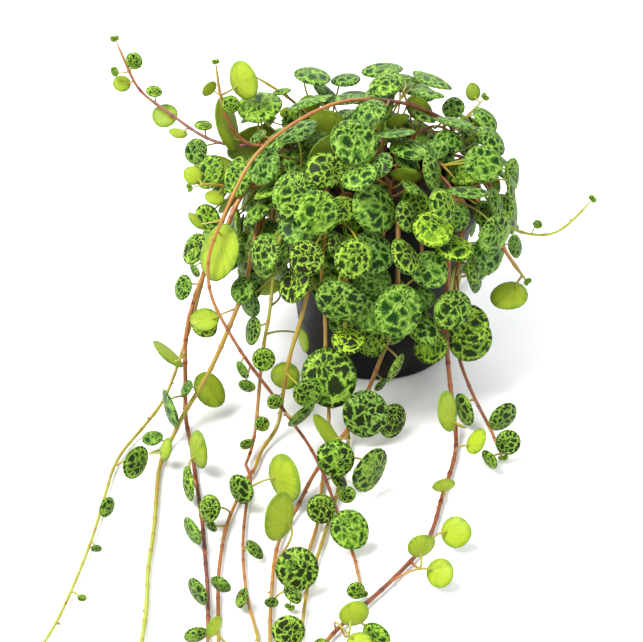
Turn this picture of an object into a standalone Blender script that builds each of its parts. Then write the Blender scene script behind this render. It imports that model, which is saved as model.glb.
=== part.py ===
"""A string of turtles in a small nursery pot: round, patterned leaves on thread-like stems that fill the pot
with a dome of leaves, hang over its rim and run on along the surface it stands on.
"""
import math
import random

import bmesh
import bpy
import numpy as np
from mathutils import Matrix

# Sizes in millimetres. Meshes are made in metres
MM = 0.001

# The pot and its soil
POT_HEIGHT = 48.0
POT_FOOT = 20.5
POT_MOUTH = 26.5
RIM_RADIUS = 27.5
RIM_HEIGHT = 6.0
POT_WALL = 0.9
POT_FLOOR = 1.2
POT_EDGE = 0.8
POT_SIDES = 28
DRAIN_HOLES = 5
DRAIN_RING = 13.0
DRAIN_RADIUS = 2.4
DRAIN_SIDES = 10
SOIL_EDGE = 43.0
SOIL_RISE = 1.8
SOIL_SIDES = 20
HOLE_DEPTH = 8.0
HOLE_RADIUS = 1.6
HOLE_SIDES = 4
CLEARANCE = 0.3

# The crown is a dome of leaves over the pot, with a skirt that hangs past the rim
CROWN_MIDDLE = np.array((-4.0, -2.0, 46.0))
CROWN_REACH = 34.0
CROWN_RISE = 25.0
LIGHT = np.array((0.0, -0.66, 0.75))

# Stems and leaves
FINE_STEP = 1.5
STEM_GAP = 2.3
NODE_STEP = 6.0
FLOOR_LINE = 1.3
LEAF_RADIUS = {"a": 1.5, "b": 2.5, "c": 3.6, "d": 4.6, "e": 5.8, "f": 7.6}
BLADE_RISE = 0.8
BLADE_BELLY = 0.5
HEEL_SHARE = 0.55
BLADE_SIDES = 8
STALK_RADIUS = 0.42
STALK_ROOT_RADIUS = 0.26
OWN_GAP = 1.25
BLADE_GAP = 1.6
STALK_GAP = 1.6
ROUTE_SLACK = 0.3
TWIST_STEP = 0.23
TWIST_TRIES = 10
TIDY_STEP = 0.0015
STALK_SLOPE = 0.25
STALK_ARCH = 0.35
HIGH_ARCH = 0.8
LONG_STALK = 6.5
REACH = 9.5
LONG_REACH = 13.0
FEWEST_LEAVES = 2
SWINGS = (0, 24, -24, 48, -48)
LIFTS = (0, 1.2, -1.2, 2.4, -2.4, 3.8, -3.8, 5.5, -5.5, 7.5)
LOW = 9.0
CROWN_LEAVES = 144
SEED = 20

# Each long stem: the points it passes from the soil to its tip, its radius there and at the tip, and its
# leaves: the growth node that each stands at, its size from a to f, a capital where its underside shows, and
# < > or ^ where it stands to the left, to the right or over the stem
LONG_STEMS = {
    "arching_stem": (
        [(15, 7, 46), (19, 7, 55), (20, 6, 63), (12, 3, 69), (4, -1, 73), (-9, -8, 76), (-20, -15, 74),
         (-30, -22, 69), (-35, -27, 63), (-39, -31, 55), (-43, -34, 46), (-43, -37, 37), (-40, -39, 30),
         (-34, -42, 20), (-27, -45, 11), (-22, -51, 6.5), (-18, -61, 6.8), (-14, -73, 5.5),
         (-11, -84, 2.5), (-8, -95, 1.3), (-6, -110, 1.3)],
        0.85, 0.6, "13b<"),
    "left_long_stem": (
        [(-19, -6, 46), (-21, -7, 54), (-27, -9, 59), (-35, -18, 55), (-39, -23, 48), (-45, -28, 37),
         (-49, -32, 26), (-50, -35, 19), (-50, -38, 10), (-50, -43, 3), (-48, -52, 1.3), (-46, -65, 1.3),
         (-43, -84, 1.3), (-41, -101, 1.3), (-39, -115, 1.3), (-38, -129, 1.3)],
        0.85, 0.55, "7c< 9c< 29c< 30b>"),
    "left_olive_stem": (
        [(-16, -11, 46), (-19, -13, 53), (-25, -16, 54), (-30, -19, 50), (-32, -24, 45), (-34, -30, 36),
         (-38, -36, 27), (-44, -42, 15), (-50, -45, 6), (-53, -51, 1.6), (-55, -62, 1.3),
         (-54, -87, 1.3), (-54, -102, 1.3), (-53, -115, 1.3), (-53, -129, 1.3)],
        0.8, 0.6, "7c^ 12b< 15b<"),
    "far_left_stem": (
        [(-20, -1, 46), (-23, -1, 54), (-30, -4, 55), (-38, -9, 49), (-44, -16, 37), (-48, -23, 24),
         (-52, -30, 13), (-56, -38, 5), (-62, -48, 1.3), (-66, -60, 1.3), (-67, -74, 1.3),
         (-68, -91, 1.3), (-70, -108, 1.3), (-72, -120, 1.3), (-75, -131, 1.3)],
        0.65, 0.45, "4e< 7d< 10c>"),
    "front_left_stem": (
        [(-10, -18, 46), (-12, -22, 52), (-15, -28, 53), (-17, -33, 47), (-18, -36, 38), (-20, -38, 30),
         (-23, -42, 21), (-25, -44, 10), (-26, -47, 3), (-31, -57, 1.3), (-34, -72, 1.3),
         (-37, -84, 1.3), (-38, -100, 1.3), (-38, -117, 1.3), (-37, -131, 1.3)],
        0.75, 0.5, "9c>"),
    "front_thin_stem": (
        [(-14, -15, 46), (-17, -19, 52), (-21, -24, 54), (-25, -29, 49), (-27, -32, 40), (-28, -34, 30),
         (-30, -38, 20), (-31, -44, 10), (-32, -52, 2.5), (-33, -66, 1.3), (-33, -78, 1.3),
         (-33, -95, 1.3), (-31, -113, 1.3), (-27, -129, 1.3)],
        0.6, 0.45, "8c< 20b> 23b<"),
    "front_middle_stem": (
        [(2, -20, 46), (3, -24, 52), (4, -29, 53), (4, -33, 47), (4, -36, 37), (3, -37, 27),
         (0, -40, 19), (-4, -43, 9), (-8, -49, 4), (-12, -58, 4.2), (-17, -69, 3.8), (-21, -80, 1.6),
         (-25, -92, 1.3), (-26, -109, 1.3), (-26, -131, 1.3)],
        0.75, 0.55, "7d< 23b>"),
    "front_yellow_stem": (
        [(-5, -20, 46), (-6, -24, 52), (-8, -29, 53), (-9, -33, 47), (-9, -36, 36), (-9, -37, 26),
         (-9, -40, 18), (-8, -44, 9), (-8, -51, 2.5), (-10, -64, 1.3), (-12, -78, 1.3), (-15, -92, 1.3),
         (-18, -107, 1.3), (-19, -119, 1.3), (-20, -131, 1.3)],
        0.7, 0.5, "8b< 11c< 22b<"),
    "front_short_stem": (
        [(-6, -14, 46), (-7, -17, 54), (-11, -25, 57), (-14, -32, 51), (-15, -35, 40), (-14, -37, 28),
         (-14, -41, 17), (-13, -47, 6), (-14, -55, 1.6), (-15, -72, 1.3), (-16, -86, 1.3),
         (-19, -101, 1.3), (-22, -114, 1.3)],
        0.65, 0.5, "17b> 23d^"),
    "right_long_stem": (
        [(10, -17, 46), (12, -21, 52), (15, -25, 53), (17, -28, 48), (17, -30, 39), (17, -31, 30),
         (17, -34, 21), (18, -38, 11), (19, -44, 3.5), (19, -53, 1.3), (17, -63, 1.3), (14, -74, 1.3),
         (10, -90, 1.3), (3, -102, 1.3), (-5, -113, 1.3), (-12, -122, 1.3), (-17, -131, 1.3)],
        0.8, 0.6, "7e< 28c>"),
    "right_second_stem": (
        [(14, -12, 46), (17, -15, 52), (20, -19, 54), (21, -23, 49), (20, -26, 40), (19, -28, 31),
         (19, -29, 22), (21, -31, 13), (25, -37, 4.5), (28, -44, 1.6), (29, -51, 1.3), (30, -58, 1.3)],
        0.7, 0.5, "8e^ 15b^"),
    "right_cut_stem": (
        [(18, -9, 46), (20, -11, 52), (24, -14, 53), (28, -18, 48), (32, -20, 40), (38, -22, 32)],
        0.75, 0.6, ""),
    "red_shoot": (
        [(-15, 3, 46), (-18, 4, 55), (-26, 6, 58), (-36, 7, 57), (-46, 12, 57), (-57, 19, 62),
         (-65, 24, 66), (-68, 26, 72), (-71, 28, 79)],
        0.7, 0.45, "4d< 6c> 7b< 8B> 9C^ 10b< 11B> 12b< 12a>"),
    "upright_shoot": (
        [(-16, -2, 46), (-19, -2, 57), (-26, -1, 61), (-34, 0, 60), (-39, 0, 66), (-41, 0, 73),
         (-42, 0, 83)],
        0.7, 0.45, "4e< 7b<"),
    "yellow_shoot": (
        [(-11, 8, 46), (-14, 10, 57), (-20, 13, 65), (-27, 15, 70), (-34, 16, 74)],
        0.55, 0.45, "2d>"),
    "back_right_shoot": (
        [(15, 12, 46), (17, 13, 55), (22, 14, 60), (29, 18, 66)],
        0.5, 0.45, "2c< 3c> 4B>"),
    "pale_shoot": (
        [(19, -4, 46), (21, -5, 51), (25, -7, 52.5), (30, -10, 47), (35, -12, 41.5), (41, -12, 40),
         (46, -12, 40), (50, -12, 43.5), (55, -12, 50)],
        0.5, 0.45, "3c^ 5a>"),
    "small_left_shoot": (
        [(-20, -10, 46), (-24, -11, 53), (-31, -12, 54), (-38, -13, 54), (-44, -16, 57), (-48, -17, 56)],
        0.5, 0.45, "3c< 4B> 5B<"),
}


def unit(v):
    return v / np.linalg.norm(v)


def turned(v, axis, angle):
    """A vector turned about a unit axis."""
    ahead = axis * (axis @ v) * (1 - math.cos(angle))
    return ahead + v * math.cos(angle) + np.cross(axis, v) * math.sin(angle)


def evenly(points, step):
    """Evenly spaced points along a row of points."""
    run = np.append(0, np.cumsum(np.linalg.norm(np.diff(points, axis=0), axis=1)))
    stations = np.linspace(0, run[-1], max(3, round(run[-1] / step) + 1))
    return np.column_stack([np.interp(stations, run, points[:, k]) for k in range(3)])


def smooth_route(points):
    """Evenly spaced points on one smooth curve through a few given points."""
    given = np.array(points, float)
    given = np.vstack([2 * given[0] - given[1], given, 2 * given[-1] - given[-2]])
    fine = []
    for a, b, c, d in zip(given, given[1:], given[2:], given[3:]):
        for t in np.linspace(0, 1, 12, endpoint=False):
            curl = 2 * a - 5 * b + 4 * c - d + t * (3 * b - a - 3 * c + d)
            fine.append(b + 0.5 * t * (c - a + t * curl))
    return evenly(np.array(fine + [given[-2]]), FINE_STEP)


class Stem:
    """One leafy stem, from its hole in the soil to its tip, and the leaves it bears."""

    def __init__(self, name, points, girth, tip_girth, score=""):
        root = np.array(points[0], float)
        self.name = name
        self.route = smooth_route(points)
        self.foot = np.array((root[0], root[1], SOIL_EDGE - HOLE_DEPTH + CLEARANCE))
        self.girth = girth
        self.tip_girth = tip_girth
        self.score = score
        self.leaves = []

    def radius_at(self, share):
        return self.girth + (self.tip_girth - self.girth) * share


class Leaf:
    """One round blade on its stalk. The stalk joins the underside, a little in from the blade's edge."""

    def __init__(self, root, centre, face, along, radius, arch=STALK_ARCH):
        self.root = root
        self.centre = centre
        self.face = unit(face)
        self.along = unit(along - self.face * (along @ self.face))
        self.radius = radius
        self.arch = arch
        self.heel = centre - self.along * radius * HEEL_SHARE - self.face * BLADE_BELLY

    def stalk(self, count):
        """Points along the bent stalk, from the stem to the blade."""
        reach = np.linalg.norm(self.heel - self.root)
        bend = self.heel - (self.face + self.along * 0.6) * reach * self.arch
        t = np.linspace(0, 1, count)[:, None]
        return (1 - t) ** 2 * self.root + 2 * t * (1 - t) * bend + t**2 * self.heel

    def blade(self):
        """Points spread over the blade."""
        across = np.cross(self.face, self.along)
        rings = max(2, round(self.radius / 1.4))
        spots = [self.centre]
        for ring in range(1, rings + 1):
            for k in range(6 * ring):
                a = math.tau * k / (6 * ring)
                way = self.along * math.cos(a) + across * math.sin(a)
                spots.append(self.centre + way * self.radius * ring / rings)
        return np.array(spots)

    def hangs_well(self):
        """True where the stalk comes to the underside from behind and keeps off the blade before that."""
        for count in (2 if self.is_plain() else 3, 9):
            steep, beside = self.sides_of(evenly(self.stalk(count), 0.4))
            if not (steep | beside).all():
                return False
        return True

    def is_plain(self):
        """True where the stalk is so short that it is all but straight."""
        return self.arch == STALK_ARCH and np.linalg.norm(self.heel - self.root) < LONG_STALK

    def sides_of(self, points):
        """Which points lie well behind the heel, and which lie beside the blade."""
        from_heel = points - self.heel
        steep = from_heel @ self.face < 0.02 - STALK_SLOPE * np.linalg.norm(from_heel, axis=1)
        away = points - self.centre
        aside = np.linalg.norm(away - np.outer(away @ self.face, self.face), axis=1)
        return steep, aside > self.radius + 1.2


def wall_radius(z):
    """The outer radius of the pot's tapering wall at a height."""
    return POT_FOOT + (POT_MOUTH - POT_FOOT) * z / POT_HEIGHT


def pot_radius(z):
    """The pot's outer radius at a height, with the band at its rim."""
    return np.where(z > POT_HEIGHT - RIM_HEIGHT - 1, RIM_RADIUS, wall_radius(z))


def free_of_pot(points, gap):
    """True where all points are clear of the pot, of the soil and of what the pot stands on."""
    z = points[:, 2]
    out = np.hypot(points[:, 0], points[:, 1])
    beside = out > pot_radius(z) + gap
    over = z > POT_HEIGHT + gap
    in_mouth = (z > SOIL_EDGE + 3.5 + gap) & (out < POT_MOUTH - 2 - gap)
    return bool(((beside | over | in_mouth) & (z > BLADE_BELLY + 0.5)).all())


def crown_radius(z):
    """The crown's radius at a height: a dome above, an almost upright skirt below."""
    up = max(0.0, min(0.999, (z - CROWN_MIDDLE[2]) / CROWN_RISE))
    return CROWN_REACH * math.sqrt(1 - up * up) + 0.07 * max(0.0, CROWN_MIDDLE[2] - z)


def crown_spot(angle, z):
    """A point on the crown's surface and its outward normal."""
    out = np.array((math.cos(angle), math.sin(angle), 0.0))
    spot = CROWN_MIDDLE + out * crown_radius(z)
    spot[2] = z
    up = max(0.0, (z - CROWN_MIDDLE[2]) / CROWN_RISE)
    normal = unit(out * math.sqrt(max(0.0, 1 - up * up)) / CROWN_REACH + np.array((0, 0, up / CROWN_RISE)))
    return spot, normal


# The crown's own shoots arch out from the middle in three tiers: their angles, and a shoot's outline as
# distances from the pot's axis and heights
CROWN_TIERS = {
    "top": (
        (20, 80, 140, 200, 260, 320),
        [(4.5, 46), (5.5, 54), (9, 60), (14, 63), (20, 62), (25, 58)]),
    "middle": (
        (0, 40, 80, 120, 160, 200, 240, 280, 320),
        [(10.5, 46), (12, 53), (17, 57.5), (23, 58), (28, 54), (31, 47), (31.5, 39)]),
    "edge": (
        (8, 50, 75, 103, 131, 158, 266, 288),
        [(17.5, 46), (19.5, 51), (24, 53.5), (29, 51), (31, 44), (31, 35), (30, 27)]),
}

# Stems that trail to the ground behind the pot: angle, and the length lying on the ground
BACK_STEMS = {"back_left_stem": (118, 38), "back_middle_stem": (88, 24), "back_right_stem": (62, 44)}


def crown_shoots(rng):
    """The crown's own shoots, arching out on all sides, each swaying a little."""
    shoots = []
    for tier, (angles, outline) in CROWN_TIERS.items():
        for k, angle in enumerate(map(math.radians, angles)):
            sway = math.radians(rng.uniform(-16, 16))
            reach = rng.uniform(0.92, 1.0)
            points = []
            for i, (out, z) in enumerate(outline):
                a = angle + sway * (i / (len(outline) - 1)) ** 2
                stretch = reach if out < RIM_RADIUS else 1
                points.append((out * stretch * math.cos(a), out * stretch * math.sin(a), z))
            shoots.append(Stem(f"{tier}_shoot_{k + 1}", points, 0.7, 0.45))
    return shoots


def back_stems():
    """Stems that hang behind the pot and run on along the ground."""
    stems = []
    outline = [(20, 46), (22, 52), (27, 54), (31, 50), (33, 40), (34, 28), (36, 15), (40, 5), (47, 1.3)]
    for name, (angle, run) in BACK_STEMS.items():
        points = []
        for i, (out, z) in enumerate(outline + [(47 + run * 0.5, 1.3), (47 + run, 1.3)]):
            a = math.radians(angle + 10 * math.sin(i * 0.7 + angle))
            points.append((out * math.cos(a), out * math.sin(a), z))
        stems.append(Stem(name, points, 0.7, 0.45, "6d< 7e> 9d< 11c> 12d< 14c> 15c< 17c> 18b< 20b>"))
    return stems


def ease_apart(stems, rounds=60):
    """Bends stems that would touch clear of each other, and of the pot and the ground."""
    owner = np.concatenate([np.full(len(s.route), i) for i, s in enumerate(stems)])
    held = np.concatenate([np.arange(len(s.route)) < 3 for s in stems])
    points = np.vstack([s.route for s in stems])
    bounds = np.cumsum([0] + [len(s.route) for s in stems])
    for turn in range(rounds):
        if turn % 6 == 0:
            pairs = []
            for i in range(len(points)):
                later = np.arange(i + 1, len(points))
                near = np.abs(points[later] - points[i]).max(axis=1) < STEM_GAP + 2.5
                pairs += [(i, j) for j in later[near & (owner[later] != owner[i])]]
            pairs = np.array(pairs)
        apart = points[pairs[:, 0]] - points[pairs[:, 1]]
        gap = np.linalg.norm(apart, axis=1)
        close = gap < STEM_GAP
        push = apart[close] / gap[close, None] * (STEM_GAP - gap[close, None]) * 0.35
        move = np.zeros_like(points)
        np.add.at(move, pairs[close, 0], push)
        np.add.at(move, pairs[close, 1], -push)
        for a, b in zip(bounds, bounds[1:]):
            soft = move[a:b].copy()
            for _ in range(3):
                soft[1:-1] = (soft[:-2] + 2 * soft[1:-1] + soft[2:]) / 4
            move[a:b] = soft
        move[held] = 0
        points = points + move
        for a, b in zip(bounds, bounds[1:]):
            bend = (points[a:b - 2] + points[a + 2:b]) / 2 - points[a + 1:b - 1]
            points[a + 1:b - 1] += bend * 0.06 * ~held[a + 1:b - 1, None]
        out = np.hypot(points[:, 0], points[:, 1])
        over = (points[:, 2] > POT_HEIGHT - 2) & (out > POT_MOUTH - 4) & (out < RIM_RADIUS + 1.4)
        points[:, 2] = np.where(over & ~held, np.maximum(points[:, 2], POT_HEIGHT + 1.5), points[:, 2])
        beside = (points[:, 2] < POT_HEIGHT + 1.4) & (out > 20) & ~held
        least = pot_radius(points[:, 2]) + 1.4
        scale = np.where(beside & (out < least), least / out, 1)
        points[:, :2] *= scale[:, None]
        points[:, 2] = np.maximum(points[:, 2], FLOOR_LINE)
    for stem, a, b in zip(stems, bounds, bounds[1:]):
        stem.route = points[a:b]
    return stems


# The front view: an eye this far from a point by the pot, looking down at this angle
EYE_AIM = np.array((-15.0, 0.0, 7.0))
EYE_DISTANCE = 430.0
EYE_RISE = math.radians(30)
AHEAD = np.array((0, math.cos(EYE_RISE), -math.sin(EYE_RISE)))
SKYWARD = np.array((0, math.sin(EYE_RISE), math.cos(EYE_RISE)))
ASIDE = np.array((1.0, 0.0, 0.0))
SEEN_STEP = 0.28
SEEN_MIDDLE = (321.5, 321.0)

# The leaves that show best from there, by the stem that bears them or as part of the crown: how far across
# and down the view, half the length and half the width that show, all in steps of SEEN_STEP, how far the
# length is turned up from level in degrees, and T or U for a top or an underside
SEEN_LEAVES = {
    "crown": [
        (325, 170, 20, 20, 0, "T"), (341, 209, 18, 16, 10, "T"), (375, 208, 28, 22, -70, "T"),
        (299, 229, 21, 20, 0, "T"), (313, 247, 11, 10, 0, "T"), (338, 247, 15, 10, 100, "T"),
        (373, 252, 24, 21, -60, "T"), (294, 288, 25, 20, 60, "T"), (332, 296, 29, 23, -65, "T"),
        (374, 309, 24, 24, 0, "T"), (280, 256, 15, 9, 80, "T"), (298, 264, 9, 8, 0, "T"),
        (254, 307, 22, 15, 40, "T"), (268, 287, 13, 8, 15, "U"), (362, 162, 17, 7, 45, "U"),
        (409, 149, 20, 12, -8, "T"), (437, 148, 13, 12, 0, "T"), (432, 173, 19, 10, 95, "T"),
        (467, 169, 22, 18, 20, "T"), (478, 192, 22, 7, -3, "T"), (412, 188, 14, 6, -33, "T"),
        (408, 216, 17, 12, 100, "T"), (428, 214, 17, 10, 80, "T"), (446, 210, 18, 14, 105, "T"),
        (406, 176, 17, 5, -8, "U"), (389, 104, 16, 5, 80, "T"), (419, 109, 16, 9, -40, "U"),
        (449, 122, 21, 7, -12, "T"), (398, 121, 13, 5, 20, "U"), (376, 121, 14, 6, 118, "U"),
        (394, 134, 23, 6, 5, "T"), (451, 249, 21, 14, -10, "T"), (481, 244, 21, 15, -40, "T"),
        (428, 270, 20, 20, 0, "T"), (453, 281, 19, 8, 72, "U"), (470, 271, 13, 8, 100, "T"),
        (404, 257, 20, 13, 120, "T"), (400, 297, 25, 10, 108, "T"), (422, 297, 14, 12, 0, "T"),
        (422, 327, 19, 17, 130, "T"), (327, 93, 17, 8, -42, "T"), (251, 143, 27, 13, 28, "U"),
        (216, 168, 23, 12, -8, "U"), (272, 188, 21, 8, 25, "T"), (293, 185, 13, 8, 40, "U"),
        (258, 210, 22, 9, 45, "T"), (279, 204, 9, 5, 100, "T"), (331, 155, 27, 19, 35, "U"),
        (328, 125, 20, 13, -15, "U"), (226, 197, 10, 9, 0, "T"), (243, 238, 7, 6, 0, "T"),
        (348, 340, 17, 14, 0, "T"), (303, 340, 13, 5, -75, "U")],
    "arching_stem": [
        (219, 251, 29, 21, 78, "U"), (196, 221, 11, 4, -50, "U"), (242, 370, 10, 5, -60, "T"),
        (246, 387, 9, 6, -20, "T"), (302, 415, 17, 6, 40, "T"), (349, 527, 20, 20, 0, "T"),
        (356, 590, 9, 8, 0, "T")],
    "left_long_stem": [
        (194, 271, 10, 5, -60, "T"), (169, 355, 20, 4, -42, "U"), (172, 407, 20, 7, -72, "T"),
        (205, 453, 20, 10, -80, "U"), (190, 481, 19, 7, -85, "T"), (194, 528, 16, 8, -65, "T"),
        (199, 588, 15, 9, -65, "T"), (197, 633, 12, 9, 20, "T")],
    "left_olive_stem": [
        (205, 320, 14, 12, 0, "U"), (197, 394, 19, 14, -60, "U"), (170, 446, 12, 6, 80, "U")],
    "far_left_stem": [
        (141, 458, 17, 10, 70, "T"), (109, 506, 11, 6, 80, "T"), (97, 548, 6, 4, 0, "T"),
        (83, 597, 5, 4, 0, "T")],
    "front_left_stem": [
        (285, 376, 15, 14, 0, "U"), (286, 471, 25, 15, -80, "U"), (275, 401, 8, 7, 0, "T"),
        (242, 486, 16, 12, -70, "T"), (210, 507, 14, 11, 80, "T"), (211, 524, 9, 5, -55, "T"),
        (222, 581, 12, 8, -35, "T"), (219, 614, 11, 6, 70, "U")],
    "front_thin_stem": [
        (264, 359, 12, 11, 0, "T"), (259, 376, 11, 5, -60, "T"), (262, 424, 8, 7, 0, "T"),
        (247, 444, 7, 5, 30, "T")],
    "front_middle_stem": [
        (365, 413, 24, 21, 0, "T"), (393, 425, 22, 17, 70, "T"), (368, 464, 25, 15, 65, "T"),
        (280, 509, 26, 14, 80, "U"), (396, 368, 17, 5, 62, "T"), (381, 385, 8, 4, 50, "T"),
        (272, 600, 8, 6, 0, "T")],
    "front_yellow_stem": [
        (323, 430, 26, 8, -52, "U"), (334, 471, 19, 18, 0, "T"), (320, 484, 17, 15, 0, "U"),
        (348, 497, 11, 10, 0, "T"), (289, 626, 17, 16, 0, "T")],
    "front_short_stem": [
        (329, 377, 29, 28, 0, "T"), (319, 447, 13, 7, 0, "U"), (321, 506, 15, 14, 0, "T"),
        (298, 564, 22, 21, 0, "T")],
    "right_long_stem": [
        (431, 347, 18, 17, 0, "T"), (443, 409, 20, 11, 95, "U"), (473, 435, 17, 9, 65, "U"),
        (446, 478, 15, 9, 10, "U"), (418, 538, 15, 12, 20, "U"), (452, 526, 16, 14, 70, "U"),
        (436, 564, 15, 12, 60, "U"), (353, 604, 15, 13, 20, "U"), (323, 625, 12, 11, 0, "U"),
        (358, 630, 13, 10, 15, "U"), (374, 626, 15, 12, -60, "T")],
    "right_second_stem": [
        (467, 325, 21, 20, 0, "T"), (464, 409, 17, 7, -75, "T"), (501, 416, 16, 12, 40, "T"),
        (506, 441, 13, 12, 0, "T"), (487, 458, 11, 5, -60, "T")],
    "right_cut_stem": [(509, 296, 19, 14, 15, "U"), (490, 223, 9, 5, -70, "U")],
    "upright_shoot": [(244, 80, 21, 14, -62, "U"), (227, 124, 28, 10, 100, "U"), (209, 88, 9, 4, 45, "U")],
    "yellow_shoot": [(308, 104, 13, 10, 20, "U"), (287, 113, 7, 6, 0, "U"), (282, 92, 10, 4, 10, "T")],
}


class Room:
    """What is in place already: blades as discs, stems and stalks as rows of points."""

    def __init__(self, stems):
        self.centres = np.zeros((0, 3))
        self.faces = np.zeros((0, 3))
        self.radii = np.zeros(0)
        self.dots = np.vstack([s.route for s in stems])
        self.owners = np.concatenate([np.full(len(s.route), i) for i, s in enumerate(stems)])

    def add(self, owner, leaf):
        self.centres = np.vstack([self.centres, leaf.centre])
        self.faces = np.vstack([self.faces, leaf.face])
        self.radii = np.append(self.radii, leaf.radius)
        stalk = leaf.stalk(7)[1:-1]
        self.dots = np.vstack([self.dots, stalk])
        self.owners = np.append(self.owners, np.full(len(stalk), owner))

    def clear_of_blades(self, points, gap):
        middle = points.mean(axis=0)
        reach = np.linalg.norm(points - middle, axis=1).max() + 2
        near = np.linalg.norm(self.centres - middle, axis=1) < reach + self.radii
        if not near.any():
            return True
        away = points[:, None] - self.centres[near]
        above = (away * self.faces[near]).sum(axis=2)
        aside = np.sqrt(np.maximum(0, (away**2).sum(axis=2) - above**2))
        return not bool(((np.abs(above) < gap) & (aside < self.radii[near] + 0.9)).any())

    def clear_of_stems(self, points, gap, owner=None):
        middle = points.mean(axis=0)
        reach = np.linalg.norm(points - middle, axis=1).max() + gap
        near = np.linalg.norm(self.dots - middle, axis=1) < reach
        if owner is not None:
            near &= self.owners != owner
        if not near.any():
            return True
        return bool(np.linalg.norm(points[:, None] - self.dots[near], axis=2).min() > gap)

    def fits(self, owner, leaf):
        blade = leaf.blade()
        stalk = leaf.stalk(9)[1:]
        return (leaf.hangs_well() and free_of_pot(blade, 1.0) and free_of_pot(stalk, 0.8)
                and self.clear_of_blades(blade, BLADE_GAP)
                and self.clear_of_stems(blade, STALK_GAP)
                and self.clear_of_blades(stalk[:-1], STALK_GAP)
                and self.clear_of_stems(stalk, STALK_GAP, owner)
                and self.clear_of_stems(stalk[4:], OWN_GAP))


def grow(room, stems, owner, root, base, out, face, along, radius, arch=STALK_ARCH, swings=SWINGS):
    """Adds a leaf in the first of a few ways that is clear of all else: lifted, swung round or smaller."""
    for scale in (1, 0.8):
        for swing in swings:
            way = turned(along, face, math.radians(swing))
            for lift in LIFTS:
                leaf = Leaf(root, base + way * radius * scale + out * lift, face, way, radius * scale, arch)
                if room.fits(owner, leaf):
                    stems[owner].leaves.append(leaf)
                    room.add(owner, leaf)
                    return True
    return False


def seen_at(across, down, depth):
    """The point that shows at a place of the front view, this far ahead of the eye."""
    x = (across - SEEN_MIDDLE[0]) * SEEN_STEP / EYE_DISTANCE
    y = (SEEN_MIDDLE[1] - down) * SEEN_STEP / EYE_DISTANCE
    return EYE_AIM + AHEAD * (depth - EYE_DISTANCE) + (ASIDE * x + SKYWARD * y) * depth


def crown_depth(across, down):
    """How far ahead of the eye the crown's surface shows at a place, or where the view passes nearest it."""
    nearest = EYE_DISTANCE
    least = math.inf
    for depth in np.arange(EYE_DISTANCE - 70, EYE_DISTANCE + 50, 0.5):
        spot = seen_at(across, down, depth)
        over = math.hypot(*(spot - CROWN_MIDDLE)[:2]) - crown_radius(spot[2])
        if spot[2] > CROWN_MIDDLE[2] + CROWN_RISE:
            over += spot[2] - CROWN_MIDDLE[2] - CROWN_RISE
        if over < 0:
            return depth
        if over < least:
            nearest, least = depth, over
    return nearest


def bearers(stems, owners, wanted, leaf):
    """The stems that could bear a leaf, nearest first: how far off, which stem and which of its points."""
    choices = []
    for i in owners:
        steep, beside = leaf.sides_of(stems[i].route[5:-1])
        if leaf.arch > STALK_ARCH:
            steep |= beside
        away = np.linalg.norm(stems[i].route[5:-1] - wanted, axis=1) + np.where(steep, 0, 99)
        if len(away):
            k = int(away.argmin())
            choices.append((float(away[k]), i, k + 5))
    return sorted(choices)


def grow_seen(room, stems, rng):
    """The leaves that show best from the front, each turned to show as long and as wide as it should."""
    for name, leaves in SEEN_LEAVES.items():
        owners = [i for i, stem in enumerate(stems) if stem.name == name] or range(len(stems))
        for across, down, half_length, half_width, turn, side in sorted(leaves, key=lambda leaf: -leaf[2]):
            top = side == "T"
            if name == "crown":
                depth = crown_depth(across, down) + (0 if top else 5)
                behind = CROWN_MIDDLE - SKYWARD * 6
            else:
                route = stems[owners[0]].route
                depths = (route - EYE_AIM) @ AHEAD + EYE_DISTANCE
                shown = np.array([seen_at(across, down, d) for d in depths])
                k = int(np.linalg.norm(shown - route, axis=1)[5:].argmin()) + 5
                depth = depths[k] - (3 if top else -1)
                behind = route[max(5, k - 2)]
                if route[k][2] < LOW and not top:
                    behind = route[min(k + 3, len(route) - 2)]
            centre = seen_at(across, down, depth)
            radius = half_length * SEEN_STEP * depth / EYE_DISTANCE
            level = math.radians(turn)
            width = max(0.2, min(1, half_width / half_length))
            narrow = SKYWARD * math.cos(level) - ASIDE * math.sin(level)
            tilt = math.acos(width)
            toward = unit(behind - centre) @ narrow
            if name == "crown":
                toward = -narrow[2]
            lean = (-1 if toward > 0 else 1) * (1 if top else -1)
            if not top and tilt < 0.5:
                narrow = (behind - centre) - AHEAD * ((behind - centre) @ AHEAD)
                if centre[2] < LOW:
                    narrow = SKYWARD
                narrow, tilt, lean = unit(narrow), 0.5, 1
            seen = unit(-AHEAD * math.cos(tilt) + narrow * math.sin(tilt) * lean)
            if top and width > 0.8:
                seen = unit(seen + np.array((0, 0, 0.35)))
            face = seen if top else -seen
            low = centre[2] - radius * math.sqrt(1 - face[2] ** 2)
            centre = centre + AHEAD / AHEAD[2] * max(0, 1.7 - low)
            along = (centre - behind) - face * ((centre - behind) @ face)
            along = unit(along)
            for arch in (STALK_ARCH,) if top else (STALK_ARCH, HIGH_ARCH):
                leaf = Leaf(behind, centre, face, along, radius, arch)
                back = 3.5 if arch == STALK_ARCH else -1
                wanted = leaf.heel - face * back - along * (1 if arch == STALK_ARCH else 0.4 * radius + 2.5)
                if grow_on_bearer(room, stems, owners, wanted, leaf):
                    break


def grow_on_bearer(room, stems, owners, wanted, leaf):
    """Grows a leaf on the stem and at the point that suit it best."""
    base = leaf.centre - leaf.along * leaf.radius
    for swings in (SWINGS[:1], SWINGS[1:]):
        for away, i, k in bearers(stems, owners, wanted, leaf)[:8]:
            if away < LONG_REACH and grow(room, stems, i, stems[i].route[k], base, -AHEAD, leaf.face,
                                          leaf.along, leaf.radius, leaf.arch, swings):
                return True
    return False


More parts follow.
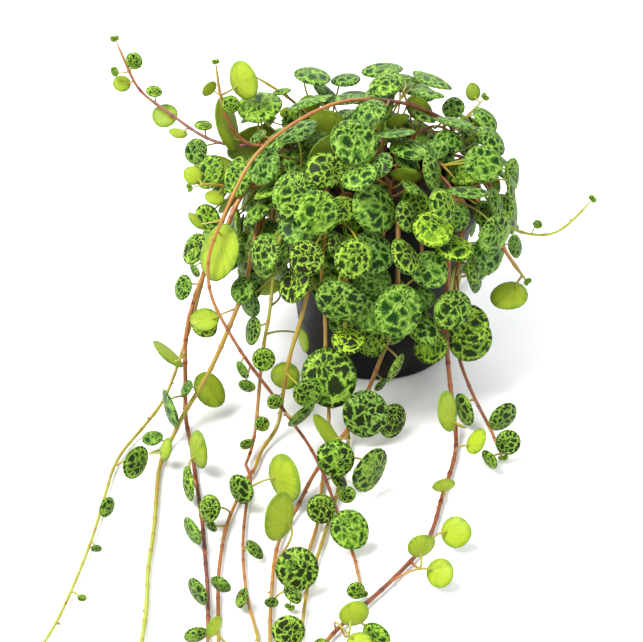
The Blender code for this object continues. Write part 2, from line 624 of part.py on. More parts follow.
def grow_on_crown(room, stems, angle, height, radius, rng, to_light):
    """A leaf at a place on the crown's surface, on the stem that passes best beneath it."""
    spot, normal = crown_spot(angle, height)
    face = unit(normal * (1 - to_light) + LIGHT * to_light)
    face = unit(face + np.array([rng.uniform(-0.42, 0.42) for _ in range(3)]))
    downhill = -np.array((0, 0, 1.0)) + normal * 0.2 + np.array([rng.uniform(-0.5, 0.5) for _ in range(3)])
    along = unit(downhill - face * (downhill @ face))
    base = spot - along * radius
    leaf = Leaf(spot, spot, face, along, radius)
    for away, i, k in bearers(stems, range(len(stems)), base - face * 3.5 - along * 1.5, leaf)[:6]:
        if away < REACH and grow(room, stems, i, stems[i].route[k], base, normal, face, along, radius):
            return


def grow_scored(room, stems, rng):
    """The leaves that each long stem's own list names."""
    for owner, stem in enumerate(stems):
        for note in stem.score.split():
            node, size, side = int(note[:-2]), note[-2], note[-1]
            at = min(len(stem.route) - 2, round(node * NODE_STEP / FINE_STEP) + rng.choice((-1, 0, 1)))
            root = stem.route[at]
            run = unit(stem.route[min(at + 1, len(stem.route) - 1)] - stem.route[at - 1])
            radius = LEAF_RADIUS[size.lower()] * rng.uniform(0.93, 1.05)
            out = np.array((root[0], root[1], 0)) / max(1, math.hypot(root[0], root[1]))
            hanging = min(1, root[2] / 20)
            face = LIGHT + out * hanging * 0.5
            face = unit(face + np.array([rng.uniform(-0.12, 0.12) for _ in range(3)]))
            face = unit(face - run * (face @ run) * 0.8)
            left = unit(np.cross(run, face)) * (-1 if side == ">" else 1)
            front = -1 if size.isupper() else 1
            if side == "^":
                way = unit(run + left * rng.uniform(-0.3, 0.3))
                base = root + face * 2.8 * front - run * radius * 0.6
            else:
                way = unit(left + run * rng.uniform(0.5, 1.2))
                base = root + left * 1.6 + face * 1.8 * front
                lean = rng.uniform(0.1, 1.1)
                face = unit(face + left * lean * front)
                way = unit(way - face * (way @ face))
            low = (base + way * radius)[2] - radius * math.sqrt(1 - face[2] ** 2)
            rise = np.array((0, 0, 1.0)) if front > 0 else np.array((0, 0, 1.0)) - face * face[2]
            base = base + rise / rise[2] * max(0, 1.6 - low)
            out = face
            face = face * front
            grow(room, stems, owner, root, base, out, face, way, radius)


def grow_crown(room, stems, rng):
    """Leaves spread over the rest of the crown, each a golden angle on from the last."""
    for layer, scale in ((0, 1.0), (0.5, 0.9)):
        for k in range(CROWN_LEAVES):
            share = (k + layer) / CROWN_LEAVES
            height = CROWN_MIDDLE[2] + CROWN_RISE * 0.99 - share * (CROWN_RISE + 21)
            angle = (k + layer) * math.radians(137.508)
            radius = rng.uniform(4.4, 6.6) * scale
            grow_on_crown(room, stems, angle, height, radius, rng, 0.35)


def grow_on_bare(room, stems, rng):
    """A few small leaves for each stem that has hardly any, the first of them near its tip."""
    for owner, stem in enumerate(stems):
        for at in range(len(stem.route) - 2, 6, -2):
            for _ in range(8):
                if len(stem.leaves) >= FEWEST_LEAVES:
                    break
                root = stem.route[at]
                out = unit(np.array((root[0], root[1], rng.uniform(0, 30))))
                face = unit(out + np.array([rng.uniform(-0.7, 0.7) for _ in range(3)]))
                along = unit(np.cross(face, np.array([rng.uniform(-1, 1) for _ in range(3)])))
                radius = rng.uniform(2.8, 4.2)
                base = root + face * 4 - along * radius * 0.8
                grow(room, stems, owner, root, base, out, face, along, radius)


def material(name, colour, roughness):
    """A Principled material of one colour."""
    made = bpy.data.materials.new(name)
    made.use_nodes = True
    shader = made.node_tree.nodes["Principled BSDF"]
    shader.inputs["Base Color"].default_value = (*colour, 1)
    shader.inputs["Roughness"].default_value = roughness
    made.diffuse_color = (*colour, 1)
    return made


def place(name, bm, collection, finish=None):
    """Turns a bmesh into a named object, in millimetres until combine() is done with it."""
    mesh = bpy.data.meshes.new(name)
    bm.to_mesh(mesh)
    bm.free()
    if finish:
        mesh.materials.append(finish)
    body = bpy.data.objects.new(name, mesh)
    collection.objects.link(body)
    return body


def combine(body, tools, operation, solver="EXACT"):
    """Joins a collection's objects to a body, or cuts them from it, and scales the body to metres."""
    change = body.modifiers.new(operation.title(), "BOOLEAN")
    change.operation = operation
    change.operand_type = "COLLECTION"
    change.collection = tools
    change.solver = solver
    change.material_mode = "TRANSFER"
    bpy.context.view_layer.objects.active = body
    bpy.ops.object.modifier_apply(modifier=change.name)
    for tool in list(tools.objects):
        bpy.data.objects.remove(tool)
    bpy.data.collections.remove(tools)
    body.data.transform(Matrix.Scale(MM, 4))


def new_tools(name):
    """An empty collection in the scene."""
    tools = bpy.data.collections.new(name)
    bpy.context.scene.collection.children.link(tools)
    return tools


def turned_body(profile, steps):
    """A closed body turned about the Z axis from a profile that starts and ends on it."""
    bm = bmesh.new()
    corners = [bm.verts.new((out, 0, z)) for out, z in profile]
    edges = [bm.edges.new(pair) for pair in zip(corners, corners[1:])]
    bmesh.ops.spin(bm, geom=corners + edges, cent=(0, 0, 0), axis=(0, 0, 1), angle=math.tau, steps=steps,
                   use_merge=True)
    bmesh.ops.remove_doubles(bm, verts=bm.verts, dist=0.01)
    bmesh.ops.recalc_face_normals(bm, faces=bm.faces)
    return bm


def upright_cutter(tools, spot, radius, low, high, sides):
    """A prism that cuts an upright hole."""
    bm = bmesh.new()
    bmesh.ops.create_cone(bm, cap_ends=True, segments=sides, radius1=radius, radius2=radius, depth=high - low)
    bmesh.ops.translate(bm, vec=(spot[0], spot[1], (low + high) / 2), verts=bm.verts)
    place("cutter", bm, tools)


def build_pot(finish):
    """The pot: a thin tapering wall, a turned-out band at the rim, and drain holes in its floor."""
    band = POT_HEIGHT - RIM_HEIGHT
    profile = [
        (0, 0), (POT_FOOT - POT_EDGE, 0), (POT_FOOT, POT_EDGE), (wall_radius(band), band),
        (RIM_RADIUS, band + POT_EDGE), (RIM_RADIUS, POT_HEIGHT - POT_EDGE / 2),
        (RIM_RADIUS - POT_EDGE / 2, POT_HEIGHT), (POT_MOUTH - POT_WALL, POT_HEIGHT),
        (wall_radius(POT_FLOOR) - POT_WALL, POT_FLOOR), (0, POT_FLOOR)]
    pot = place("pot", turned_body(profile, POT_SIDES), bpy.context.scene.collection, finish)
    tools = new_tools("drain_holes")
    for k in range(DRAIN_HOLES):
        angle = math.tau * (k + 0.5) / DRAIN_HOLES
        spot = (DRAIN_RING * math.cos(angle), DRAIN_RING * math.sin(angle))
        upright_cutter(tools, spot, DRAIN_RADIUS, -1, POT_FLOOR + 1, DRAIN_SIDES)
    combine(pot, tools, "DIFFERENCE")
    pot.data.shade_smooth()
    pot.data.set_sharp_from_angle(angle=math.radians(35))


def build_soil(stems, finish):
    """The soil that fills the pot, a little raised in the middle, with a plain hole for each stem."""
    inside = POT_WALL + CLEARANCE
    edge = wall_radius(SOIL_EDGE) - inside
    low = POT_FLOOR + CLEARANCE
    profile = [(0, low), (wall_radius(low) - inside, low), (edge, SOIL_EDGE)]
    profile += [(edge * out, SOIL_EDGE + SOIL_RISE * (1 - out**2)) for out in (0.8, 0.5, 0)]
    soil = place("soil", turned_body(profile, SOIL_SIDES), bpy.context.scene.collection, finish)
    tools = new_tools("stem_holes")
    for stem in stems:
        upright_cutter(tools, stem.foot, HOLE_RADIUS, SOIL_EDGE - HOLE_DEPTH, POT_HEIGHT, HOLE_SIDES)
    combine(soil, tools, "DIFFERENCE")


def ring(bm, centre, along, across, radius, sides):
    """A ring of corners round a point."""
    return [bm.verts.new(centre + (along * math.cos(a) + across * math.sin(a)) * radius)
            for a in (math.tau * k / sides for k in range(sides))]


def join_rings(bm, first, second):
    """Walls between two rings of as many corners, facing out where the first ring lies ahead."""
    for k in range(len(first)):
        after = (k + 1) % len(first)
        bm.faces.new((first[after], first[k], second[k], second[after]))


def needed_points(points, slack):
    """The fewest of a row of points that keep its shape within a slack."""
    run = points[-1] - points[0]
    length = np.linalg.norm(run)
    away = np.linalg.norm(np.cross(points - points[0], run / length), axis=1) if length else [0]
    far = int(np.argmax(away))
    if len(points) < 3 or away[far] < slack:
        return [points[0], points[-1]]
    return needed_points(points[:far + 1], slack)[:-1] + needed_points(points[far:], slack)


def nearest_on(points, spot):
    """The point of a chain of straight runs that lies nearest a spot."""
    best = points[0]
    for a, b in zip(points, points[1:]):
        share = min(1, max(0, (spot - a) @ (b - a) / ((b - a) @ (b - a))))
        found = a + (b - a) * share
        if np.linalg.norm(found - spot) < np.linalg.norm(best - spot):
            best = found
    return best


def stem_mesh(stem, points, twist):
    """The stem alone: a thin tube from its foot in the soil to its tip."""
    run = np.append(0, np.cumsum(np.linalg.norm(np.diff(points, axis=0), axis=1)))
    sides = 4 if stem.girth > 0.76 else 3
    bm = bmesh.new()
    rings = []
    aside = np.array((math.cos(twist), math.sin(twist), 0))
    for i, point in enumerate(points):
        ahead = unit(points[min(i + 1, len(points) - 1)] - points[max(i - 1, 0)])
        aside = unit(aside - ahead * (aside @ ahead))
        rings.append(ring(bm, point, aside, np.cross(ahead, aside), stem.radius_at(run[i] / run[-1]), sides))
    for behind, ahead in zip(rings, rings[1:]):
        join_rings(bm, ahead, behind)
    bm.faces.new(reversed(rings[0]))
    bm.faces.new(rings[-1])
    bmesh.ops.triangulate(bm, faces=bm.faces)
    return bm


def leaf_mesh(leaf):
    """One leaf: a shallow cone for the blade's face, an underside drawn in to the stalk, and the stalk."""
    across = np.cross(leaf.face, leaf.along)
    sides = BLADE_SIDES - (leaf.radius < 5) - (leaf.radius < 3.4)
    bm = bmesh.new()
    rim = ring(bm, leaf.centre, leaf.along, across, leaf.radius, sides)
    crest = bm.verts.new(leaf.centre + leaf.face * BLADE_RISE)
    for k in range(sides):
        bm.faces.new((rim[k], rim[(k + 1) % sides], crest))
    rings = [ring(bm, leaf.heel, leaf.along, across, STALK_RADIUS, 3)]
    root, middle, heel = leaf.stalk(3)
    stops = [(middle, unit(middle - root) + unit(heel - middle), STALK_RADIUS),
             (root, middle - root, STALK_ROOT_RADIUS)]
    if leaf.is_plain():
        stops = [(root, heel - root, STALK_ROOT_RADIUS)]
    before, aside = leaf.face, leaf.along
    for point, ahead, radius in stops:
        ahead = unit(ahead)
        axis = np.cross(before, ahead)
        lean = np.linalg.norm(axis)
        if lean > 0.001:
            aside = turned(aside, axis / lean, math.atan2(lean, before @ ahead))
        rings.append(ring(bm, point, aside, np.cross(ahead, aside), radius, 3))
        before = ahead
    top = rings[0]
    seen = [math.atan2((v - leaf.heel) @ across, (v - leaf.heel) @ leaf.along) % math.tau
            for v in (np.array(corner.co) for corner in rim)]
    seen[0] = 0
    seen.append(math.tau)
    i = j = 0
    while i < sides or j < 3:
        if j == 3 or (i < sides and seen[i + 1] - math.pi / sides <= math.tau * (j + 0.5) / 3):
            bm.faces.new((rim[(i + 1) % sides], rim[i], top[j % 3]))
            i += 1
        else:
            bm.faces.new((rim[i % sides], top[j % 3], top[(j + 1) % 3]))
            j += 1
    for ahead, behind in zip(rings, rings[1:]):
        join_rings(bm, ahead, behind)
    bm.faces.new(reversed(rings[-1]))
    bmesh.ops.triangulate(bm, faces=bm.faces)
    return bm


def is_one_body(mesh):
    """Tidies a joined mesh into plain triangles. True where each edge then has two, and all hang together."""
    bm = bmesh.new()
    bm.from_mesh(mesh)
    bmesh.ops.triangulate(bm, faces=bm.faces)
    bmesh.ops.remove_doubles(bm, verts=bm.verts, dist=TIDY_STEP * MM)
    closed = all(len(edge.link_faces) == 2 for edge in bm.edges)
    left = set(bm.faces)
    reached = [left.pop()]
    while reached:
        for edge in reached.pop().edges:
            for face in edge.link_faces:
                if face in left:
                    left.remove(face)
                    reached.append(face)
    bm.to_mesh(mesh)
    bm.free()
    return closed and not left


def build_stem(stem, bark, green):
    """One leafy stem as one body: its leaves' stalks are sunk in the stem and joined to it."""
    points = np.array(needed_points(np.vstack([stem.foot, stem.route]), ROUTE_SLACK))
    for leaf in stem.leaves:
        leaf.root = nearest_on(points, leaf.root)
    for attempt in range(TWIST_TRIES):
        tube = stem_mesh(stem, points, attempt * TWIST_STEP)
        body = place(stem.name, tube, bpy.context.scene.collection, bark)
        tools = new_tools(stem.name + "_leaves")
        for leaf in stem.leaves:
            place("leaf", leaf_mesh(leaf), tools, green)
        combine(body, tools, "UNION", "MANIFOLD")
        if is_one_body(body.data):
            return
        bpy.data.objects.remove(body)
    raise RuntimeError(stem.name + " has a stalk that can't be joined")


def grown_stems():
    """All stems with their leaves."""
    rng = random.Random(SEED)
    stems = [Stem(name, *spec) for name, spec in LONG_STEMS.items()] + back_stems() + crown_shoots(rng)
    ease_apart(stems)
    room = Room(stems)
    grow_seen(room, stems, rng)
    grow_scored(room, stems, rng)
    grow_crown(room, stems, rng)
    grow_on_bare(room, stems, rng)
    return stems


for old in list(bpy.data.objects):
    bpy.data.objects.remove(old)
plastic = material("black_plastic", (0.02, 0.02, 0.022), 0.55)
peat = material("potting_soil", (0.035, 0.022, 0.014), 0.95)
bark = material("stem_skin", (0.30, 0.12, 0.04), 0.5)
green = material("leaf_green", (0.10, 0.32, 0.04), 0.4)
all_stems = grown_stems()
build_pot(plastic)
build_soil(all_stems, peat)
for leafy_stem in all_stems:
    build_stem(leafy_stem, bark, green)
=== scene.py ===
"""The looks of a string of turtles in a small nursery pot: leathery round leaves with a turtle-shell
pattern, on thread-like stems that fill the pot, hang over its rim and run on along the surface before it.
"""
import math
import random

import bpy
import numpy as np
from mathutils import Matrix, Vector, noise


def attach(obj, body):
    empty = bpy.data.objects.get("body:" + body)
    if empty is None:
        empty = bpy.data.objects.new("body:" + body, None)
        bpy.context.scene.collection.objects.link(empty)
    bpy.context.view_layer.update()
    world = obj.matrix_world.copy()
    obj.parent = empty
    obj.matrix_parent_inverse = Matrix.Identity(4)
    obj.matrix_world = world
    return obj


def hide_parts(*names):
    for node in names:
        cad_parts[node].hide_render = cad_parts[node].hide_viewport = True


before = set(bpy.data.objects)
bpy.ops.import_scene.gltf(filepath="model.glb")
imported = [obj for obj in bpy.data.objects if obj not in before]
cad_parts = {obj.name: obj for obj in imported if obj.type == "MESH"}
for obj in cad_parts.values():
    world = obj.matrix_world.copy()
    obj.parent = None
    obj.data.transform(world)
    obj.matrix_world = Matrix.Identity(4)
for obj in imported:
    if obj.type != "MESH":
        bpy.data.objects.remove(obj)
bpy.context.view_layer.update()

# The nursery pot
# A thin tapering cup of black plastic, moulded in one piece with a turned-out band at its mouth and drain
# holes in its floor. It is matt, a little scuffed, and dusty with dried peat. Sizes are in millimetres.
MM = 0.001
POT_HEIGHT = 48.0
POT_FOOT = 20.5
POT_MOUTH = 26.5
RIM_RADIUS = 27.5
RIM_HEIGHT = 6.0
POT_WALL = 0.9
POT_FLOOR = 1.2
POT_EDGE = 0.8
BASE_RECESS = 0.5
DRAIN_HOLES = 5
DRAIN_RING = 13.0
DRAIN_RADIUS = 2.4
POT_SIDES = 96


class Wire:
    """One output of a shader node. Sums written on wires add the nodes that work them out."""

    def __init__(self, tree, socket):
        self.tree = tree
        self.socket = socket

    def node(self, kind, settings, sockets, output=0):
        """Adds a node: its settings first, then the values or wires of its sockets."""
        made = self.tree.nodes.new("ShaderNode" + kind)
        for name, value in settings.items():
            if name == "stops":
                ramp = made.color_ramp.elements
                while len(ramp) < len(value):
                    ramp.new(0.5)
                for stop, (place, colour) in zip(ramp, value):
                    stop.position = place
                    stop.color = (*colour, 1)
            else:
                setattr(made, name, value)
        for name, value in sockets.items():
            if isinstance(value, Wire):
                self.tree.links.new(value.socket, made.inputs[name])
            else:
                made.inputs[name].default_value = value
        return Wire(self.tree, made.outputs[output])

    def math(self, operation, *values):
        return self.node("Math", {"operation": operation}, dict(enumerate((self, *values))))

    def __add__(self, other):
        return self.math("ADD", other)

    def __sub__(self, other):
        return self.math("SUBTRACT", other)

    def __rsub__(self, other):
        return self.math("MULTIPLY_ADD", -1, other)

    def __mul__(self, other):
        return self.math("MULTIPLY", other)

    __radd__ = __add__
    __rmul__ = __mul__

    def rise(self, low, high):
        """Turns smoothly from 0 at low to 1 at high, or from 1 to 0 where low is the higher."""
        return self.node("MapRange", {"interpolation_type": "SMOOTHSTEP"},
                         {"Value": self, "From Min": low, "From Max": high})

    def blend(self, low, high):
        """A number from low to high as this goes from 0 to 1."""
        return low + self * (high - low)

    def vector(self, operation, value=None):
        """Vector sums, with another wire, a fixed vector or, for SCALE, a number."""
        sockets = {0: self}
        if operation == "SCALE":
            sockets["Scale"] = value
        elif value is not None:
            sockets[1] = value
        return self.node("VectorMath", {"operation": operation}, sockets, "Vector")

    def length(self):
        return self.node("VectorMath", {"operation": "LENGTH"}, {0: self}, "Value")

    def own(self, name, output="Vector"):
        """An attribute that the piece's mesh holds."""
        return self.node("Attribute", {"attribute_name": name}, {}, output)

    def stretched(self, *scale):
        """This place, with its three coordinates scaled."""
        return self.node("Mapping", {}, {"Vector": self, "Scale": scale})

    def joined(self, **parts):
        """A vector of one to three numbers."""
        return self.node("CombineXYZ", {}, parts)

    def cells(self, scale):
        """How far this place is from the edge of its cell, in a field of irregular cells."""
        return self.node("TexVoronoi", {"feature": "DISTANCE_TO_EDGE"}, {"Vector": self, "Scale": scale})

    def grain(self, scale, detail=2.0, roughness=0.5, output=0):
        """Cloudy noise, from 0 to 1, at this place."""
        return self.node("TexNoise", {}, {"Vector": self, "Scale": scale, "Detail": detail,
                                          "Roughness": roughness}, output)

    def part(self, letter):
        """One coordinate of a vector."""
        return self.node("SeparateXYZ", {}, {"Vector": self}, letter)

    def mix(self, low, high):
        """A colour from low to high as this goes from 0 to 1."""
        low, high = (c if isinstance(c, Wire) else (*c, 1) for c in (low, high))
        return self.node("Mix", {"data_type": "RGBA"}, {"Factor": self, "A": low, "B": high}, "Result")

    def bump(self, height, strength):
        return self.node("Bump", {}, {"Height": self, "Distance": height, "Strength": strength}, "Normal")


def new_finish(name, **fixed):
    """A material, its shader, and the wire of the coordinates of the piece that wears it."""
    made = bpy.data.materials.new(name)
    made.use_nodes = True
    tree = made.node_tree
    shader = tree.nodes["Principled BSDF"]
    for socket, value in fixed.items():
        shader.inputs[socket.replace("_", " ")].default_value = value
    return made, shader, Wire(tree, tree.nodes.new("ShaderNodeTexCoord").outputs["Object"])


def wear(shader, **wires):
    """Joins wires to a shader's sockets."""
    for socket, wire in wires.items():
        wire.tree.links.new(wire.socket, shader.inputs[socket.replace("_", " ")])


def pot_plastic():
    """Black plastic: fine grain, faint upright drag lines and a broken film of dried peat."""
    made, shader, place = new_finish("pot_plastic", Metallic=0.0, Specular_IOR_Level=0.10)
    drag = place.stretched(1.0, 1.0, 0.06).grain(900, 2.0)
    film = place.grain(95, 5.0, 0.62)
    specks = place.grain(1500, 2.0)
    low_down = 1 - place.part("Z").rise(0.004, 0.034)
    dust = (film + low_down * 0.10).rise(0.53, 0.75) * (specks * 0.7 + 0.4)
    colour = dust.mix((0.005, 0.005, 0.006), (0.026, 0.021, 0.017))
    wear(shader, Base_Color=colour, Roughness=dust * 0.35 + 0.38 + drag * 0.06,
         Normal=(specks * 0.5 + drag * 0.8 + dust * 0.6).bump(0.00015, 0.35))
    return made


def finish_piece(piece, *nodes):
    """The piece stands for these nodes and rides on the body that they are part of."""
    if nodes:
        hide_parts(*nodes)
    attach(piece, "root")


def choose(piece):
    """Leaves a piece alone selected and active."""
    bpy.ops.object.select_all(action="DESELECT")
    piece.select_set(True)
    bpy.context.view_layer.objects.active = piece


def apply_place(piece):
    """Leaves a piece alone selected, with its place in its mesh."""
    choose(piece)
    bpy.ops.object.transform_apply(location=True, rotation=True, scale=True)


def wall_radius(z):
    """The outer radius of the tapering wall at a height."""
    return POT_FOOT + (POT_MOUTH - POT_FOOT) * z / POT_HEIGHT


band = POT_HEIGHT - RIM_HEIGHT
base_edge = POT_FOOT - POT_EDGE
inner_foot = wall_radius(POT_FLOOR) - POT_WALL
pot_outline = [
    (base_edge - 1.6, 0), (base_edge, 0), (POT_FOOT, POT_EDGE), (wall_radius(band) - 0.05, band - 0.4),
    (wall_radius(band), band), (RIM_RADIUS - 0.2, band + POT_EDGE), (RIM_RADIUS, band + POT_EDGE + 0.5),
    (RIM_RADIUS, POT_HEIGHT - POT_EDGE), (RIM_RADIUS - 0.25, POT_HEIGHT - 0.2),
    (RIM_RADIUS - 0.6, POT_HEIGHT), (POT_MOUTH - POT_WALL + 0.2, POT_HEIGHT),
    (POT_MOUTH - POT_WALL, POT_HEIGHT - 0.3), (inner_foot, POT_FLOOR + 0.8), (inner_foot - 0.8, POT_FLOOR)]
ring_radius = base_edge - 2
ring_height = BASE_RECESS
bpy.ops.object.select_all(action="DESELECT")
bpy.ops.mesh.primitive_circle_add(vertices=POT_SIDES, radius=ring_radius * MM, fill_type="NGON",
                                  location=(0, 0, ring_height * MM))
pot = bpy.context.object
pot.name = "nursery_pot"
bpy.ops.object.mode_set(mode="EDIT")
for radius, height in pot_outline:
    bpy.ops.mesh.extrude_region_move(TRANSFORM_OT_translate={"value": (0, 0, (height - ring_height) * MM)})
    grow_by = radius / ring_radius
    bpy.ops.transform.resize(value=(grow_by, grow_by, 1))
    ring_radius = radius
    ring_height = height
bpy.ops.mesh.select_all(action="SELECT")
bpy.ops.mesh.normals_make_consistent(inside=False)
bpy.ops.object.mode_set(mode="OBJECT")
for k in range(DRAIN_HOLES):
    angle = math.tau * (k + 0.5) / DRAIN_HOLES
    spot = (DRAIN_RING * MM * math.cos(angle), DRAIN_RING * MM * math.sin(angle), 0)
    bpy.ops.mesh.primitive_cylinder_add(vertices=24, radius=DRAIN_RADIUS * MM, depth=6 * MM, location=spot)
    drill = bpy.context.object
    hole = pot.modifiers.new("Drain hole", "BOOLEAN")
    hole.operation = "DIFFERENCE"
    hole.object = drill
    bpy.context.view_layer.objects.active = pot
    bpy.ops.object.modifier_apply(modifier=hole.name)
    bpy.data.objects.remove(drill)
apply_place(pot)
bpy.ops.object.shade_smooth_by_angle(angle=math.radians(32))
pot.data.materials.append(pot_plastic())
finish_piece(pot, "pot")

# The potting soil
# Loose peat with bark chips and white grains of perlite, filled to a little under the rim. It is heaped at
# the right, where it shows between the leaves.
SOIL_EDGE = 43.0
SOIL_RISE = 1.8
SOIL_DEPTH = 14
SOIL_SIDES = 80
SOIL_RINGS = 21
RING_STEP = 1.1
LUMPS_REACH = 22.8
LUMPS_END = 23.2
HEAP = np.array((21.5, -5.0))
HEAP_RISE = 5.0
HEAP_SPREAD = 4.2
RIM_PLAY = 0.5


def soil_radius(z):
    """The soil's radius at a height."""
    return wall_radius(z) - POT_WALL - RIM_PLAY


def soil_height(x, y):
    """How high the soil lies, with the heap at the right but not its crumbs."""
    out = min(1, math.hypot(x, y) / 25)
    away = math.hypot(x - HEAP[0], y - HEAP[1])
    return SOIL_EDGE + SOIL_RISE * (1 - out * out) + HEAP_RISE * math.exp(-((away / HEAP_SPREAD) ** 2))


def peat():
    """Damp peat: brown-black crumbs with lighter fibres."""
    made, shader, place = new_finish("peat", Metallic=0.0)
    crumbs = place.grain(420, 5.0, 0.65)
    fibres = place.stretched(1.0, 0.25, 1.0).grain(1300, 3.0)
    lighter = fibres.rise(0.60, 0.78) * 0.7
    colour = lighter.mix(crumbs.rise(0.3, 0.75).mix((0.006, 0.004, 0.003), (0.035, 0.021, 0.014)),
                         (0.10, 0.062, 0.036))
    wear(shader, Base_Color=colour, Roughness=crumbs * 0.2 + 0.78,
         Normal=(crumbs + fibres * 0.4).bump(0.0009, 0.9))
    return made


def perlite():
    """Perlite: puffed white grains, a little stained with peat."""
    made, shader, place = new_finish("perlite", Metallic=0.0)
    stain = place.grain(700, 4.0, 0.6)
    wear(shader, Base_Color=stain.rise(0.48, 0.75).mix((0.78, 0.75, 0.69), (0.30, 0.22, 0.15)),
         Roughness=stain * 0.2 + 0.7, Normal=place.grain(2200, 3.0).bump(0.0003, 0.7))
    return made


def bark_chip():
    """Composted bark: dark red-brown, with long grain."""
    made, shader, place = new_finish("bark_chips", Metallic=0.0)
    grain = place.stretched(1.0, 0.3, 1.0).grain(1500, 4.0)
    wear(shader, Base_Color=grain.rise(0.3, 0.75).mix((0.022, 0.011, 0.007), (0.12, 0.060, 0.030)),
         Roughness=grain * 0.3 + 0.6, Normal=grain.bump(0.0003, 0.8))
    return made


def join_pieces(pieces, name):
    """Joins pieces into the first of them."""
    bpy.ops.object.select_all(action="DESELECT")
    for piece in pieces:
        piece.select_set(True)
    bpy.context.view_layer.objects.active = pieces[0]
    bpy.ops.object.join()
    pieces[0].name = name
    return pieces[0]


def lump(finish, spot, sizes, turn, rough, seed):
    """A small lump of rough stuff, sunk a third into the soil."""
    bpy.ops.mesh.primitive_ico_sphere_add(subdivisions=2, radius=MM)
    made = bpy.context.object
    for corner in made.data.vertices:
        at = corner.co / MM
        corner.co += corner.co * noise.noise(at * 1.3 + Vector((seed, 0, 0))) * rough
    made.scale = sizes
    made.rotation_euler = turn
    made.location = [s * MM for s in spot]
    made.data.materials.append(finish)
    bpy.ops.object.shade_smooth_by_angle(angle=math.radians(40))
    apply_place(made)
    return made


bpy.ops.object.select_all(action="DESELECT")
soil_foot = SOIL_EDGE - SOIL_DEPTH
bpy.ops.mesh.primitive_circle_add(vertices=SOIL_SIDES, radius=soil_radius(soil_foot) * MM,
                                  fill_type="NGON", location=(0, 0, soil_foot * MM))
soil = bpy.context.object
bpy.ops.object.mode_set(mode="EDIT")
bpy.ops.mesh.extrude_region_move(TRANSFORM_OT_translate={"value": (0, 0, SOIL_DEPTH * MM)})
spread = soil_radius(SOIL_EDGE) / soil_radius(soil_foot)
bpy.ops.transform.resize(value=(spread, spread, 1))
for ring in range(SOIL_RINGS):
    bpy.ops.mesh.inset(thickness=RING_STEP * MM)
bpy.ops.mesh.poke()
bpy.ops.mesh.select_all(action="SELECT")
bpy.ops.mesh.normals_make_consistent(inside=False)
bpy.ops.object.mode_set(mode="OBJECT")
apply_place(soil)
for corner in soil.data.vertices:
    if corner.co.z < (SOIL_EDGE - 1) * MM:
        continue
    x, y = corner.co.x / MM, corner.co.y / MM
    crumbs = noise.noise(Vector((x, y, 0)) * 0.45) * 0.9 + noise.noise(Vector((x, y, 3)) * 1.1) * 0.55
    corner.co.z = (soil_height(x, y) + crumbs) * MM
soil.data.materials.append(peat())
bpy.ops.object.shade_smooth()
grit = random.Random(4)
bits = [soil]
for finish, count, least, most, flat, rough in (
        (perlite(), 46, 0.45, 1.15, 0.85, 0.5),
        (bark_chip(), 34, 0.8, 2.1, 0.35, 0.35),
        (soil.data.materials[0], 90, 0.5, 1.5, 0.8, 0.7)):
    for k in range(count):
        if k % 3:
            out = math.sqrt(grit.uniform(0.0, 1.0)) * LUMPS_REACH
            angle = grit.uniform(0, math.tau)
            x, y = out * math.cos(angle), out * math.sin(angle)
        else:
            x, y = HEAP[0] + grit.gauss(0, 2.0) - 0.8, HEAP[1] + grit.gauss(0, 3.2)
        if math.hypot(x, y) > LUMPS_END:
            continue
        size = grit.uniform(least, most)
        spot = (x, y, soil_height(x, y) + size * 0.2)
        sizes = (size, size * grit.uniform(0.6, 1), size * flat)
        turn = [grit.uniform(-0.7, 0.7) for _ in range(3)]
        bits.append(lump(finish, spot, sizes, turn, rough, grit.uniform(0, 50)))
soil = join_pieces(bits, "potting_soil")
finish_piece(soil, "soil")

# How the plant has grown
# Each stem roots in the soil, arches over the rim and trails on. Round leaves stand along it on thin stalks,
# each clear of all others. The crown is a dome of leaves over the pot, with a skirt that hangs past the rim.
CROWN_MIDDLE = np.array((-4.0, -2.0, 46.0))
CROWN_REACH = 34.0
CROWN_RISE = 25.0
CROWN_SKIRT = 21
SKIRT_FLARE = 0.07
LIGHT = np.array((0.0, -0.66, 0.75))
UP = np.array((0.0, 0.0, 1.0))
SEED = 20

# Stems: their steps, where they root and lie, the crown's own shoots, and how stems are eased apart
FINE_STEP = 1.5
NODE_STEP = 6.0
FIRST_NODE = 5
ROOT_DEPTH = 7.7
FLOOR_LINE = 1.3
SHOOT_GIRTHS = (0.7, 0.45)
SHOOT_SWAY = 16
STEM_GAP = 2.3
POT_GAP = 1.4
EASE_ROUNDS = 60
EASE_PUSH = 0.35
EASE_BEND = 0.06

# Leaves and their stalks
LEAF_RADIUS = {"a": 1.5, "b": 2.5, "c": 3.6, "d": 4.6, "e": 5.8}
BLADE_BELLY = 0.5
DOT_STEP = 1.4
HEEL_SHARE = 0.55
STALK_SLOPE = 0.25
STALK_LEAN = 0.6
STALK_ARCH = 0.35
HIGH_ARCH = 0.8
STALK_DROP = 3.5
LONG_STALK = 6.5

# The room that blades and stalks keep to each other, to the stems, to the pot and to the soil
BLADE_GAP = 1.6
STALK_GAP = 1.6
OWN_GAP = 1.25
EDGE_GAP = 0.9
BESIDE_GAP = 1.2
BLADE_OFF_POT = 1.0
STALK_OFF_POT = 0.8
SOIL_GAP = 3.5

# How far from its stem a leaf may stand, and the ways in which it is tried there
REACH = 9.5
LONG_REACH = 13.0
FAR_OFF = 99
SWINGS = (0, 24, -24, 48, -48)
LIFTS = (0, 1.2, -1.2, 2.4, -2.4, 3.8, -3.8, 5.5, -5.5, 7.5)

# The leaves that show best from the front
LOW = 9.0
INTO_CROWN = 5
HEART_DROP = 6
EDGE_ON = 0.2
FULL_FACE = 0.8
SKY_TURN = 0.35
UNDER_TILT = 0.5

